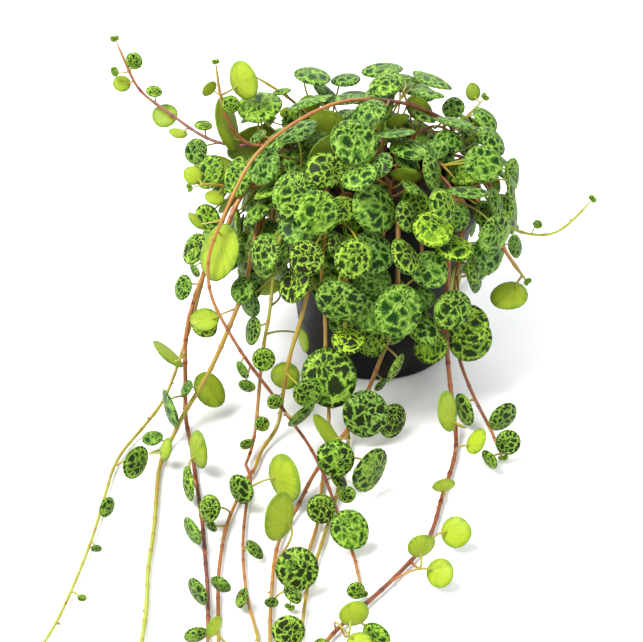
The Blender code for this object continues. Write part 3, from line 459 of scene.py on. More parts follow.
# The leaves that follow a rule
CROWN_LEAVES = 144
CROWN_RADII = (4.4, 6.6)
BARE_RADII = (2.8, 4.2)
FEWEST_LEAVES = 2
TO_LIGHT = 0.35
GOLDEN_ANGLE = math.radians(137.508)

# Each long stem: the points it passes from the soil to its tip, its radius there and at the tip, and its
# leaves: the growth node that each stands at, its size from a to e, a capital where its underside shows, and
# < > or ^ where it stands to the left, to the right or over the stem. A point with no height of its own lies
# on the ground
LONG_STEMS = {
    "arching_stem": (
        [(15, 7, 46), (19, 7, 55), (20, 6, 63), (12, 3, 69), (4, -1, 73), (-9, -8, 76), (-20, -15, 74),
         (-30, -22, 69), (-35, -27, 63), (-39, -31, 55), (-43, -34, 46), (-43, -37, 37), (-40, -39, 30),
         (-34, -42, 20), (-27, -45, 11), (-22, -51, 6.5), (-18, -61, 6.8), (-14, -73, 5.5),
         (-11, -84, 2.5), (-8, -95), (-6, -110)],
        0.85, 0.6, "13b<"),
    "left_long_stem": (
        [(-19, -6, 46), (-21, -7, 54), (-27, -9, 59), (-35, -18, 55), (-39, -23, 48), (-45, -28, 37),
         (-49, -32, 26), (-50, -35, 19), (-50, -38, 10), (-50, -43, 3), (-48, -52), (-46, -65),
         (-43, -84), (-41, -101), (-39, -115), (-38, -129)],
        0.85, 0.55, "7c< 9c< 29c< 30b>"),
    "left_olive_stem": (
        [(-16, -11, 46), (-19, -13, 53), (-25, -16, 54), (-30, -19, 50), (-32, -24, 45), (-34, -30, 36),
         (-38, -36, 27), (-44, -42, 15), (-50, -45, 6), (-53, -51, 1.6), (-55, -62),
         (-54, -87), (-54, -102), (-53, -115), (-53, -129)],
        0.8, 0.6, "7c^ 12b< 15b<"),
    "far_left_stem": (
        [(-20, -1, 46), (-23, -1, 54), (-30, -4, 55), (-38, -9, 49), (-44, -16, 37), (-48, -23, 24),
         (-52, -30, 13), (-56, -38, 5), (-62, -48), (-66, -60), (-67, -74),
         (-68, -91), (-70, -108), (-72, -120), (-75, -131)],
        0.65, 0.45, "4e< 7d< 10c>"),
    "front_left_stem": (
        [(-10, -18, 46), (-12, -22, 52), (-15, -28, 53), (-17, -33, 47), (-18, -36, 38), (-20, -38, 30),
         (-23, -42, 21), (-25, -44, 10), (-26, -47, 3), (-31, -57), (-34, -72),
         (-37, -84), (-38, -100), (-38, -117), (-37, -131)],
        0.75, 0.5, "9c>"),
    "front_thin_stem": (
        [(-14, -15, 46), (-17, -19, 52), (-21, -24, 54), (-25, -29, 49), (-27, -32, 40), (-28, -34, 30),
         (-30, -38, 20), (-31, -44, 10), (-32, -52, 2.5), (-33, -66), (-33, -78),
         (-33, -95), (-31, -113), (-27, -129)],
        0.6, 0.45, "8c< 20b> 23b<"),
    "front_middle_stem": (
        [(2, -20, 46), (3, -24, 52), (4, -29, 53), (4, -33, 47), (4, -36, 37), (3, -37, 27),
         (0, -40, 19), (-4, -43, 9), (-8, -49, 4), (-12, -58, 4.2), (-17, -69, 3.8), (-21, -80, 1.6),
         (-25, -92), (-26, -109), (-26, -131)],
        0.75, 0.55, "7d< 23b>"),
    "front_yellow_stem": (
        [(-5, -20, 46), (-6, -24, 52), (-8, -29, 53), (-9, -33, 47), (-9, -36, 36), (-9, -37, 26),
         (-9, -40, 18), (-8, -44, 9), (-8, -51, 2.5), (-10, -64), (-12, -78), (-15, -92),
         (-18, -107), (-19, -119), (-20, -131)],
        0.7, 0.5, "8b< 11c< 22b<"),
    "front_short_stem": (
        [(-6, -14, 46), (-7, -17, 54), (-11, -25, 57), (-14, -32, 51), (-15, -35, 40), (-14, -37, 28),
         (-14, -41, 17), (-13, -47, 6), (-14, -55, 1.6), (-15, -72), (-16, -86),
         (-19, -101), (-22, -114)],
        0.65, 0.5, "17b> 23d^"),
    "right_long_stem": (
        [(10, -17, 46), (12, -21, 52), (15, -25, 53), (17, -28, 48), (17, -30, 39), (17, -31, 30),
         (17, -34, 21), (18, -38, 11), (19, -44, 3.5), (19, -53), (17, -63), (14, -74),
         (10, -90), (3, -102), (-5, -113), (-12, -122), (-17, -131)],
        0.8, 0.6, "7e< 28c>"),
    "right_second_stem": (
        [(14, -12, 46), (17, -15, 52), (20, -19, 54), (21, -23, 49), (20, -26, 40), (19, -28, 31),
         (19, -29, 22), (21, -31, 13), (25, -37, 4.5), (28, -44, 1.6), (29, -51), (30, -58)],
        0.7, 0.5, "8e^ 15b^"),
    "right_cut_stem": (
        [(18, -9, 46), (20, -11, 52), (24, -14, 53), (28, -18, 48), (32, -20, 40), (38, -22, 32)],
        0.75, 0.6, ""),
    "red_shoot": (
        [(-15, 3, 46), (-18, 4, 55), (-26, 6, 58), (-36, 7, 57), (-46, 12, 57), (-57, 19, 62),
         (-65, 24, 66), (-68, 26, 72), (-71, 28, 79)],
        0.7, 0.45, "4d< 6c> 7b< 8B> 9C^ 10b< 11B> 12b< 12a>"),
    "upright_shoot": (
        [(-16, -2, 46), (-19, -2, 57), (-26, -1, 61), (-34, 0, 60), (-39, 0, 66), (-41, 0, 73),
         (-42, 0, 83)],
        0.7, 0.45, "4e< 7b<"),
    "yellow_shoot": (
        [(-11, 8, 46), (-14, 10, 57), (-20, 13, 65), (-27, 15, 70), (-34, 16, 74)],
        0.55, 0.45, "2d>"),
    "back_right_shoot": (
        [(15, 12, 46), (17, 13, 55), (22, 14, 60), (29, 18, 66)],
        0.5, 0.45, "2c< 3c> 4B>"),
    "pale_shoot": (
        [(19, -4, 46), (21, -5, 51), (25, -7, 52.5), (30, -10, 47), (35, -12, 41.5), (41, -12, 40),
         (46, -12, 40), (50, -12, 43.5), (55, -12, 50)],
        0.5, 0.45, "3c^ 5a>"),
    "small_left_shoot": (
        [(-20, -10, 46), (-24, -11, 53), (-31, -12, 54), (-38, -13, 54), (-44, -16, 57), (-48, -17, 56)],
        0.5, 0.45, "3c< 4B> 5B<"),
}


def unit(v):
    return v / np.linalg.norm(v)


def astray(v, rng, most):
    """A vector with up to this much added to or taken from each of its coordinates."""
    return v + np.array([rng.uniform(-most, most) for _ in range(3)])


def turned(v, axis, angle):
    """A vector turned about a unit axis."""
    ahead = axis * (axis @ v) * (1 - math.cos(angle))
    return ahead + v * math.cos(angle) + np.cross(axis, v) * math.sin(angle)


def evenly(points, step):
    """Evenly spaced points along a row of points."""
    run = np.append(0, np.cumsum(np.linalg.norm(np.diff(points, axis=0), axis=1)))
    stations = np.linspace(0, run[-1], max(3, round(run[-1] / step) + 1))
    return np.column_stack([np.interp(stations, run, points[:, k]) for k in range(3)])


def smooth_route(points, step=FINE_STEP):
    """Evenly spaced points on one smooth curve through a few given points."""
    given = np.array(points, float)
    given = np.vstack([2 * given[0] - given[1], given, 2 * given[-1] - given[-2]])
    fine = []
    for a, b, c, d in zip(given, given[1:], given[2:], given[3:]):
        for t in np.linspace(0, 1, 12, endpoint=False):
            curl = 2 * a - 5 * b + 4 * c - d + t * (3 * b - a - 3 * c + d)
            fine.append(b + 0.5 * t * (c - a + t * curl))
    return evenly(np.array(fine + [given[-2]]), step)


class Stem:
    """One leafy stem, from its hole in the soil to its tip, and the leaves it bears."""

    def __init__(self, name, points, girth, tip_girth, score=""):
        self.name = name
        self.route = smooth_route([(*point, FLOOR_LINE)[:3] for point in points])
        self.foot = np.array((*points[0][:2], SOIL_EDGE - ROOT_DEPTH))
        self.girth = girth
        self.tip_girth = tip_girth
        self.score = score
        self.leaves = []

    def radius_at(self, share):
        return self.girth + (self.tip_girth - self.girth) * share


def disc(rings):
    """Places spread over a disc in rings: the cosine and sine of the way to each, and its ring."""
    spots = [(math.tau * k / (6 * ring), ring) for ring in range(1, rings + 1) for k in range(6 * ring)]
    return np.array([(math.cos(a), math.sin(a), ring) for a, ring in spots]).T[..., None]


DISCS = {rings: disc(rings) for rings in range(2, 9)}


class Leaf:
    """One round blade on its stalk. The stalk joins the underside, a little in from the blade's edge."""

    def __init__(self, root, centre, face, along, radius, arch=STALK_ARCH):
        self.root = root
        self.centre = centre
        self.face = unit(face)
        self.along = unit(along - self.face * (along @ self.face))
        self.radius = radius
        self.arch = arch
        self.heel = centre - self.along * radius * HEEL_SHARE - self.face * BLADE_BELLY

    def stalk(self, count):
        """Points along the bent stalk, from the stem to the blade."""
        reach = np.linalg.norm(self.heel - self.root)
        bend = self.heel - (self.face + self.along * STALK_LEAN) * reach * self.arch
        t = np.linspace(0, 1, count)[:, None]
        return (1 - t) ** 2 * self.root + 2 * t * (1 - t) * bend + t**2 * self.heel

    def blade(self):
        """Points spread over the blade."""
        across = np.cross(self.face, self.along)
        rings = max(2, round(self.radius / DOT_STEP))
        east, north, ring = DISCS[rings]
        way = self.along * east + across * north
        return np.vstack([self.centre, self.centre + way * self.radius * ring / rings])

    def hangs_well(self):
        """True where the stalk comes to the underside from behind and keeps off the blade before that."""
        for count in (2 if self.is_plain() else 3, 9):
            steep, beside = self.sides_of(evenly(self.stalk(count), 0.4))
            if not (steep | beside).all():
                return False
        return True

    def is_plain(self):
        """True where the stalk is so short that it is all but straight."""
        return self.arch == STALK_ARCH and np.linalg.norm(self.heel - self.root) < LONG_STALK

    def sides_of(self, points):
        """Which points lie well behind the heel, and which lie beside the blade."""
        from_heel = points - self.heel
        steep = from_heel @ self.face < 0.02 - STALK_SLOPE * np.linalg.norm(from_heel, axis=1)
        away = points - self.centre
        aside = np.linalg.norm(away - np.outer(away @ self.face, self.face), axis=1)
        return steep, aside > self.radius + BESIDE_GAP


def pot_radius(z):
    """The pot's outer radius at a height, with the band at its rim."""
    return np.where(z > POT_HEIGHT - RIM_HEIGHT - 1, RIM_RADIUS, wall_radius(z))


def free_of_pot(points, gap):
    """True where all points are clear of the pot, of the soil and of what the pot stands on."""
    z = points[:, 2]
    out = np.hypot(points[:, 0], points[:, 1])
    beside = out > pot_radius(z) + gap
    over = z > POT_HEIGHT + gap
    in_mouth = (z > SOIL_EDGE + SOIL_GAP + gap) & (out < POT_MOUTH - 2 - gap)
    return bool(((beside | over | in_mouth) & (z > BLADE_BELLY + 0.5)).all())


def crown_radius(z):
    """The crown's radius at a height: a dome above, an almost upright skirt below."""
    up = max(0.0, min(0.999, (z - CROWN_MIDDLE[2]) / CROWN_RISE))
    return CROWN_REACH * math.sqrt(1 - up * up) + SKIRT_FLARE * max(0.0, CROWN_MIDDLE[2] - z)


def crown_spot(angle, z):
    """A point on the crown's surface and its outward normal."""
    out = np.array((math.cos(angle), math.sin(angle), 0.0))
    spot = CROWN_MIDDLE + out * crown_radius(z)
    spot[2] = z
    up = max(0.0, (z - CROWN_MIDDLE[2]) / CROWN_RISE)
    normal = unit(out * math.sqrt(max(0.0, 1 - up * up)) / CROWN_REACH + UP * (up / CROWN_RISE))
    return spot, normal


# The crown's own shoots arch out from the middle in three tiers: their angles, and a shoot's outline as
# distances from the pot's axis and heights
CROWN_TIERS = {
    "top": (
        (20, 80, 140, 200, 260, 320),
        [(4.5, 46), (5.5, 54), (9, 60), (14, 63), (20, 62), (25, 58)]),
    "middle": (
        (0, 40, 80, 120, 160, 200, 240, 280, 320),
        [(10.5, 46), (12, 53), (17, 57.5), (23, 58), (28, 54), (31, 47), (31.5, 39)]),
    "edge": (
        (8, 50, 75, 103, 131, 158, 266, 288),
        [(17.5, 46), (19.5, 51), (24, 53.5), (29, 51), (31, 44), (31, 35), (30, 27)]),
}

# Stems that trail to the ground behind the pot: angle, and the length lying on the ground. They bear the
# same leaves
BACK_STEMS = {"back_left_stem": (118, 38), "back_middle_stem": (88, 24), "back_right_stem": (62, 44)}
BACK_LEAVES = "6d< 7e> 9d< 11c> 12d< 14c> 15c< 17c> 18b< 20b>"


def crown_shoots(rng):
    """The crown's own shoots, arching out on all sides, each swaying a little."""
    shoots = []
    for tier, (angles, outline) in CROWN_TIERS.items():
        for k, angle in enumerate(map(math.radians, angles)):
            sway = math.radians(rng.uniform(-SHOOT_SWAY, SHOOT_SWAY))
            reach = rng.uniform(0.92, 1.0)
            points = []
            for i, (out, z) in enumerate(outline):
                a = angle + sway * (i / (len(outline) - 1)) ** 2
                stretch = reach if out < RIM_RADIUS else 1
                points.append((out * stretch * math.cos(a), out * stretch * math.sin(a), z))
            shoots.append(Stem(f"{tier}_shoot_{k + 1}", points, *SHOOT_GIRTHS))
    return shoots


def back_stems():
    """Stems that hang behind the pot and run on along the ground."""
    stems = []
    outline = [(20, 46), (22, 52), (27, 54), (31, 50), (33, 40), (34, 28), (36, 15), (40, 5)]
    for name, (angle, run) in BACK_STEMS.items():
        points = []
        lying = [(47 + run * share, FLOOR_LINE) for share in (0, 0.5, 1)]
        for i, (out, z) in enumerate(outline + lying):
            a = math.radians(angle + 10 * math.sin(i * 0.7 + angle))
            points.append((out * math.cos(a), out * math.sin(a), z))
        stems.append(Stem(name, points, *SHOOT_GIRTHS, BACK_LEAVES))
    return stems


def ease_apart(stems):
    """Bends stems that would touch clear of each other, and of the pot and the ground."""
    owner = np.concatenate([np.full(len(s.route), i) for i, s in enumerate(stems)])
    held = np.concatenate([np.arange(len(s.route)) < 3 for s in stems])
    points = np.vstack([s.route for s in stems])
    bounds = np.cumsum([0] + [len(s.route) for s in stems])
    for turn in range(EASE_ROUNDS):
        if turn % 6 == 0:
            pairs = []
            for i in range(len(points)):
                later = np.arange(i + 1, len(points))
                near = np.abs(points[later] - points[i]).max(axis=1) < STEM_GAP + 2.5
                pairs += [(i, j) for j in later[near & (owner[later] != owner[i])]]
            pairs = np.array(pairs)
        apart = points[pairs[:, 0]] - points[pairs[:, 1]]
        gap = np.linalg.norm(apart, axis=1)
        close = gap < STEM_GAP
        push = apart[close] / gap[close, None] * (STEM_GAP - gap[close, None]) * EASE_PUSH
        move = np.zeros_like(points)
        np.add.at(move, pairs[close, 0], push)
        np.add.at(move, pairs[close, 1], -push)
        for a, b in zip(bounds, bounds[1:]):
            soft = move[a:b].copy()
            for _ in range(3):
                soft[1:-1] = (soft[:-2] + 2 * soft[1:-1] + soft[2:]) / 4
            move[a:b] = soft
        move[held] = 0
        points = points + move
        for a, b in zip(bounds, bounds[1:]):
            bend = (points[a:b - 2] + points[a + 2:b]) / 2 - points[a + 1:b - 1]
            points[a + 1:b - 1] += bend * EASE_BEND * ~held[a + 1:b - 1, None]
        out = np.hypot(points[:, 0], points[:, 1])
        over = (points[:, 2] > POT_HEIGHT - 2) & (out > POT_MOUTH - 4) & (out < RIM_RADIUS + POT_GAP)
        points[:, 2] = np.where(over & ~held, np.maximum(points[:, 2], POT_HEIGHT + 1.5), points[:, 2])
        beside = (points[:, 2] < POT_HEIGHT + POT_GAP) & (out > 20) & ~held
        least = pot_radius(points[:, 2]) + POT_GAP
        scale = np.where(beside & (out < least), least / out, 1)
        points[:, :2] *= scale[:, None]
        points[:, 2] = np.maximum(points[:, 2], FLOOR_LINE)
    for stem, a, b in zip(stems, bounds, bounds[1:]):
        stem.route = points[a:b]
    return stems


# The front view: an eye this far from a point by the pot, looking down at this angle
EYE_AIM = np.array((-15.0, 0.0, 7.0))
EYE_DISTANCE = 430.0
EYE_RISE = math.radians(30)
AHEAD = np.array((0, math.cos(EYE_RISE), -math.sin(EYE_RISE)))
SKYWARD = np.array((0, math.sin(EYE_RISE), math.cos(EYE_RISE)))
ASIDE = np.array((1.0, 0.0, 0.0))
SEEN_STEP = 0.28
SEEN_MIDDLE = (321.5, 321.0)

# The leaves that show best from there, by the stem that bears them or as part of the crown: how far across
# and down the view, half the length and half the width that show, all in steps of SEEN_STEP, how far the
# length is turned up from level in degrees, and T or U for a top or an underside
SEEN_LEAVES = {
    "crown": [
        (325, 170, 20, 20, 0, "T"), (341, 209, 18, 16, 10, "T"), (375, 208, 28, 22, -70, "T"),
        (299, 229, 21, 20, 0, "T"), (313, 247, 11, 10, 0, "T"), (338, 247, 15, 10, 100, "T"),
        (373, 252, 24, 21, -60, "T"), (294, 288, 25, 20, 60, "T"), (332, 296, 29, 23, -65, "T"),
        (374, 309, 24, 24, 0, "T"), (280, 256, 15, 9, 80, "T"), (298, 264, 9, 8, 0, "T"),
        (254, 307, 22, 15, 40, "T"), (268, 287, 13, 8, 15, "U"), (362, 162, 17, 7, 45, "U"),
        (409, 149, 20, 12, -8, "T"), (437, 148, 13, 12, 0, "T"), (432, 173, 19, 10, 95, "T"),
        (467, 169, 22, 18, 20, "T"), (478, 192, 22, 7, -3, "T"), (412, 188, 14, 6, -33, "T"),
        (408, 216, 17, 12, 100, "T"), (428, 214, 17, 10, 80, "T"), (446, 210, 18, 14, 105, "T"),
        (406, 176, 17, 5, -8, "U"), (389, 104, 16, 5, 80, "T"), (419, 109, 16, 9, -40, "U"),
        (449, 122, 21, 7, -12, "T"), (398, 121, 13, 5, 20, "U"), (376, 121, 14, 6, 118, "U"),
        (394, 134, 23, 6, 5, "T"), (451, 249, 21, 14, -10, "T"), (481, 244, 21, 15, -40, "T"),
        (428, 270, 20, 20, 0, "T"), (453, 281, 19, 8, 72, "U"), (470, 271, 13, 8, 100, "T"),
        (404, 257, 20, 13, 120, "T"), (400, 297, 25, 10, 108, "T"), (422, 297, 14, 12, 0, "T"),
        (422, 327, 19, 17, 130, "T"), (327, 93, 17, 8, -42, "T"), (251, 143, 27, 13, 28, "U"),
        (216, 168, 23, 12, -8, "U"), (272, 188, 21, 8, 25, "T"), (293, 185, 13, 8, 40, "U"),
        (258, 210, 22, 9, 45, "T"), (279, 204, 9, 5, 100, "T"), (331, 155, 27, 19, 35, "U"),
        (328, 125, 20, 13, -15, "U"), (226, 197, 10, 9, 0, "T"), (243, 238, 7, 6, 0, "T"),
        (348, 340, 17, 14, 0, "T"), (303, 340, 13, 5, -75, "U")],
    "arching_stem": [
        (219, 251, 29, 21, 78, "U"), (196, 221, 11, 4, -50, "U"), (242, 370, 10, 5, -60, "T"),
        (246, 387, 9, 6, -20, "T"), (302, 415, 17, 6, 40, "T"), (349, 527, 20, 20, 0, "T"),
        (356, 590, 9, 8, 0, "T")],
    "left_long_stem": [
        (194, 271, 10, 5, -60, "T"), (169, 355, 20, 4, -42, "U"), (172, 407, 20, 7, -72, "T"),
        (205, 453, 20, 10, -80, "U"), (190, 481, 19, 7, -85, "T"), (194, 528, 16, 8, -65, "T"),
        (199, 588, 15, 9, -65, "T"), (197, 633, 12, 9, 20, "T")],
    "left_olive_stem": [
        (205, 320, 14, 12, 0, "U"), (197, 394, 19, 14, -60, "U"), (170, 446, 12, 6, 80, "U")],
    "far_left_stem": [
        (141, 458, 17, 10, 70, "T"), (109, 506, 11, 6, 80, "T"), (97, 548, 6, 4, 0, "T"),
        (83, 597, 5, 4, 0, "T")],
    "front_left_stem": [
        (285, 376, 15, 14, 0, "U"), (286, 471, 25, 15, -80, "U"), (275, 401, 8, 7, 0, "T"),
        (242, 486, 16, 12, -70, "T"), (210, 507, 14, 11, 80, "T"), (211, 524, 9, 5, -55, "T"),
        (222, 581, 12, 8, -35, "T"), (219, 614, 11, 6, 70, "U")],
    "front_thin_stem": [
        (264, 359, 12, 11, 0, "T"), (259, 376, 11, 5, -60, "T"), (262, 424, 8, 7, 0, "T"),
        (247, 444, 7, 5, 30, "T")],
    "front_middle_stem": [
        (365, 413, 24, 21, 0, "T"), (393, 425, 22, 17, 70, "T"), (368, 464, 25, 15, 65, "T"),
        (280, 509, 26, 14, 80, "U"), (396, 368, 17, 5, 62, "T"), (381, 385, 8, 4, 50, "T"),
        (272, 600, 8, 6, 0, "T")],
    "front_yellow_stem": [
        (323, 430, 26, 8, -52, "U"), (334, 471, 19, 18, 0, "T"), (320, 484, 17, 15, 0, "U"),
        (348, 497, 11, 10, 0, "T"), (289, 626, 17, 16, 0, "T")],
    "front_short_stem": [
        (329, 377, 29, 28, 0, "T"), (319, 447, 13, 7, 0, "U"), (321, 506, 15, 14, 0, "T"),
        (298, 564, 22, 21, 0, "T")],
    "right_long_stem": [
        (431, 347, 18, 17, 0, "T"), (443, 409, 20, 11, 95, "U"), (473, 435, 17, 9, 65, "U"),
        (446, 478, 15, 9, 10, "U"), (418, 538, 15, 12, 20, "U"), (452, 526, 16, 14, 70, "U"),
        (436, 564, 15, 12, 60, "U"), (353, 604, 15, 13, 20, "U"), (323, 625, 12, 11, 0, "U"),
        (358, 630, 13, 10, 15, "U"), (374, 626, 15, 12, -60, "T")],
    "right_second_stem": [
        (467, 325, 21, 20, 0, "T"), (464, 409, 17, 7, -75, "T"), (501, 416, 16, 12, 40, "T"),
        (506, 441, 13, 12, 0, "T"), (487, 458, 11, 5, -60, "T")],
    "right_cut_stem": [(509, 296, 19, 14, 15, "U"), (490, 223, 9, 5, -70, "U")],
    "upright_shoot": [(244, 80, 21, 14, -62, "U"), (227, 124, 28, 10, 100, "U"), (209, 88, 9, 4, 45, "U")],
    "yellow_shoot": [(308, 104, 13, 10, 20, "U"), (287, 113, 7, 6, 0, "U"), (282, 92, 10, 4, 10, "T")],
}


class Room:
    """What is in place already: blades as discs, stems and stalks as rows of points."""

    def __init__(self, stems, ease=1.0):
        self.ease = ease
        self.centres = np.zeros((0, 3))
        self.faces = np.zeros((0, 3))
        self.radii = np.zeros(0)
        self.dots = np.vstack([s.route for s in stems])
        self.owners = np.concatenate([np.full(len(s.route), i) for i, s in enumerate(stems)])

    def add(self, owner, leaf):
        self.centres = np.vstack([self.centres, leaf.centre])
        self.faces = np.vstack([self.faces, leaf.face])
        self.radii = np.append(self.radii, leaf.radius)
        stalk = leaf.stalk(7)[1:-1]
        self.dots = np.vstack([self.dots, stalk])
        self.owners = np.append(self.owners, np.full(len(stalk), owner))

    def clear_of_blades(self, points, gap):
        middle = points.mean(axis=0)
        reach = np.linalg.norm(points - middle, axis=1).max() + 2
        near = np.linalg.norm(self.centres - middle, axis=1) < reach + self.radii
        if not near.any():
            return True
        away = points[:, None] - self.centres[near]
        above = (away * self.faces[near]).sum(axis=2)
        aside = np.sqrt(np.maximum(0, (away**2).sum(axis=2) - above**2))
        return not bool(((np.abs(above) < gap) & (aside < self.radii[near] + EDGE_GAP)).any())

    def clear_of_stems(self, points, gap, owner=None):
        middle = points.mean(axis=0)
        reach = np.linalg.norm(points - middle, axis=1).max() + gap
        near = np.linalg.norm(self.dots - middle, axis=1) < reach
        if owner is not None:
            near &= self.owners != owner
        if not near.any():
            return True
        return bool(np.linalg.norm(points[:, None] - self.dots[near], axis=2).min() > gap)

    def fits(self, owner, leaf):
        blade = leaf.blade()
        stalk = leaf.stalk(9)[1:]
        return (leaf.hangs_well() and free_of_pot(blade, BLADE_OFF_POT)
                and free_of_pot(stalk, STALK_OFF_POT)
                and self.clear_of_blades(blade, BLADE_GAP * self.ease)
                and self.clear_of_stems(blade, STALK_GAP * self.ease)
                and self.clear_of_blades(stalk[:-1], STALK_GAP * self.ease)
                and self.clear_of_stems(stalk, STALK_GAP * self.ease, owner)
                and self.clear_of_stems(stalk[4:], OWN_GAP * self.ease))


def grow(room, stems, owner, root, base, out, face, along, radius, arch=STALK_ARCH, swings=SWINGS):
    """Adds a leaf in the first of a few ways that is clear of all else: lifted, swung round or smaller."""
    for scale in (1, 0.8):
        for swing in swings:
            way = turned(along, face, math.radians(swing))
            for lift in LIFTS:
                leaf = Leaf(root, base + way * radius * scale + out * lift, face, way, radius * scale, arch)
                if room.fits(owner, leaf):
                    stems[owner].leaves.append(leaf)
                    room.add(owner, leaf)
                    return True
    return False


def seen_at(across, down, depth):
    """The point that shows at a place of the front view, this far ahead of the eye."""
    x = (across - SEEN_MIDDLE[0]) * SEEN_STEP / EYE_DISTANCE
    y = (SEEN_MIDDLE[1] - down) * SEEN_STEP / EYE_DISTANCE
    return EYE_AIM + AHEAD * (depth - EYE_DISTANCE) + (ASIDE * x + SKYWARD * y) * depth


def crown_depth(across, down):
    """How far ahead of the eye the crown's surface shows at a place, or where the view passes nearest it."""
    nearest = EYE_DISTANCE
    least = math.inf
    for depth in np.arange(EYE_DISTANCE - 70, EYE_DISTANCE + 50, 0.5):
        spot = seen_at(across, down, depth)
        over = math.hypot(*(spot - CROWN_MIDDLE)[:2]) - crown_radius(spot[2])
        if spot[2] > CROWN_MIDDLE[2] + CROWN_RISE:
            over += spot[2] - CROWN_MIDDLE[2] - CROWN_RISE
        if over < 0:
            return depth
        if over < least:
            nearest, least = depth, over
    return nearest


def bearers(stems, owners, wanted, leaf):
    """The stems that could bear a leaf, nearest first: how far off, which stem and which of its points."""
    choices = []
    for i in owners:
        nodes = stems[i].route[FIRST_NODE:-1]
        steep, beside = leaf.sides_of(nodes)
        if leaf.arch > STALK_ARCH:
            steep |= beside
        away = np.linalg.norm(nodes - wanted, axis=1) + np.where(steep, 0, FAR_OFF)
        if len(away):
            k = int(away.argmin())
            choices.append((float(away[k]), i, k + FIRST_NODE))
    return sorted(choices)


def grow_seen(room, stems):
    """The leaves that show best from the front, each turned to show as long and as wide as it should."""
    for name, leaves in SEEN_LEAVES.items():
        owners = [i for i, stem in enumerate(stems) if stem.name == name] or range(len(stems))
        for across, down, half_length, half_width, turn, side in sorted(leaves, key=lambda leaf: -leaf[2]):
            top = side == "T"
            if name == "crown":
                depth = crown_depth(across, down) + (0 if top else INTO_CROWN)
                behind = CROWN_MIDDLE - SKYWARD * HEART_DROP
            else:
                route = stems[owners[0]].route
                depths = (route - EYE_AIM) @ AHEAD + EYE_DISTANCE
                shown = np.array([seen_at(across, down, d) for d in depths])
                k = int(np.linalg.norm(shown - route, axis=1)[FIRST_NODE:].argmin()) + FIRST_NODE
                depth = depths[k] - (3 if top else -1)
                behind = route[max(FIRST_NODE, k - 2)]
                if route[k][2] < LOW and not top:
                    behind = route[min(k + 3, len(route) - 2)]
            centre = seen_at(across, down, depth)
            radius = half_length * SEEN_STEP * depth / EYE_DISTANCE
            level = math.radians(turn)
            width = max(EDGE_ON, min(1, half_width / half_length))
            narrow = SKYWARD * math.cos(level) - ASIDE * math.sin(level)
            tilt = math.acos(width)
            toward = unit(behind - centre) @ narrow
            if name == "crown":
                toward = -narrow[2]
            lean = (-1 if toward > 0 else 1) * (1 if top else -1)
            if not top and tilt < UNDER_TILT:
                narrow = (behind - centre) - AHEAD * ((behind - centre) @ AHEAD)
                if centre[2] < LOW:
                    narrow = SKYWARD
                narrow, tilt, lean = unit(narrow), UNDER_TILT, 1
            seen = unit(-AHEAD * math.cos(tilt) + narrow * math.sin(tilt) * lean)
            if top and width > FULL_FACE:
                seen = unit(seen + UP * SKY_TURN)
            face = seen if top else -seen
            low = centre[2] - radius * math.sqrt(1 - face[2] ** 2)
            centre = centre + AHEAD / AHEAD[2] * max(0, 1.7 - low)
            along = (centre - behind) - face * ((centre - behind) @ face)
            along = unit(along)
            for arch in (STALK_ARCH,) if top else (STALK_ARCH, HIGH_ARCH):
                leaf = Leaf(behind, centre, face, along, radius, arch)
                back = STALK_DROP if arch == STALK_ARCH else -1
                wanted = leaf.heel - face * back - along * (1 if arch == STALK_ARCH else 0.4 * radius + 2.5)
                if grow_on_bearer(room, stems, owners, wanted, leaf):
                    break


def grow_on_bearer(room, stems, owners, wanted, leaf):
    """Grows a leaf on the stem and at the point that suit it best."""
    base = leaf.centre - leaf.along * leaf.radius
    for swings in (SWINGS[:1], SWINGS[1:]):
        for away, i, k in bearers(stems, owners, wanted, leaf)[:8]:
            if away < LONG_REACH and grow(room, stems, i, stems[i].route[k], base, -AHEAD, leaf.face,
                                          leaf.along, leaf.radius, leaf.arch, swings):
                return True
    return False


def grow_on_crown(room, stems, angle, height, radius, rng, to_light, inset=0):
    """A leaf at a place on or within the crown's surface, on the stem that passes best beneath it."""
    spot, normal = crown_spot(angle, height)
    spot = spot - normal * inset
    face = unit(normal * (1 - to_light) + LIGHT * to_light)
    face = unit(astray(face, rng, 0.42))
    downhill = astray(normal * 0.2 - UP, rng, 0.5)
    along = unit(downhill - face * (downhill @ face))
    base = spot - along * radius
    leaf = Leaf(spot, spot, face, along, radius)
    wanted = base - face * STALK_DROP - along * 1.5
    for away, i, k in bearers(stems, range(len(stems)), wanted, leaf)[:6]:
        if away < REACH and grow(room, stems, i, stems[i].route[k], base, normal, face, along, radius):
            return


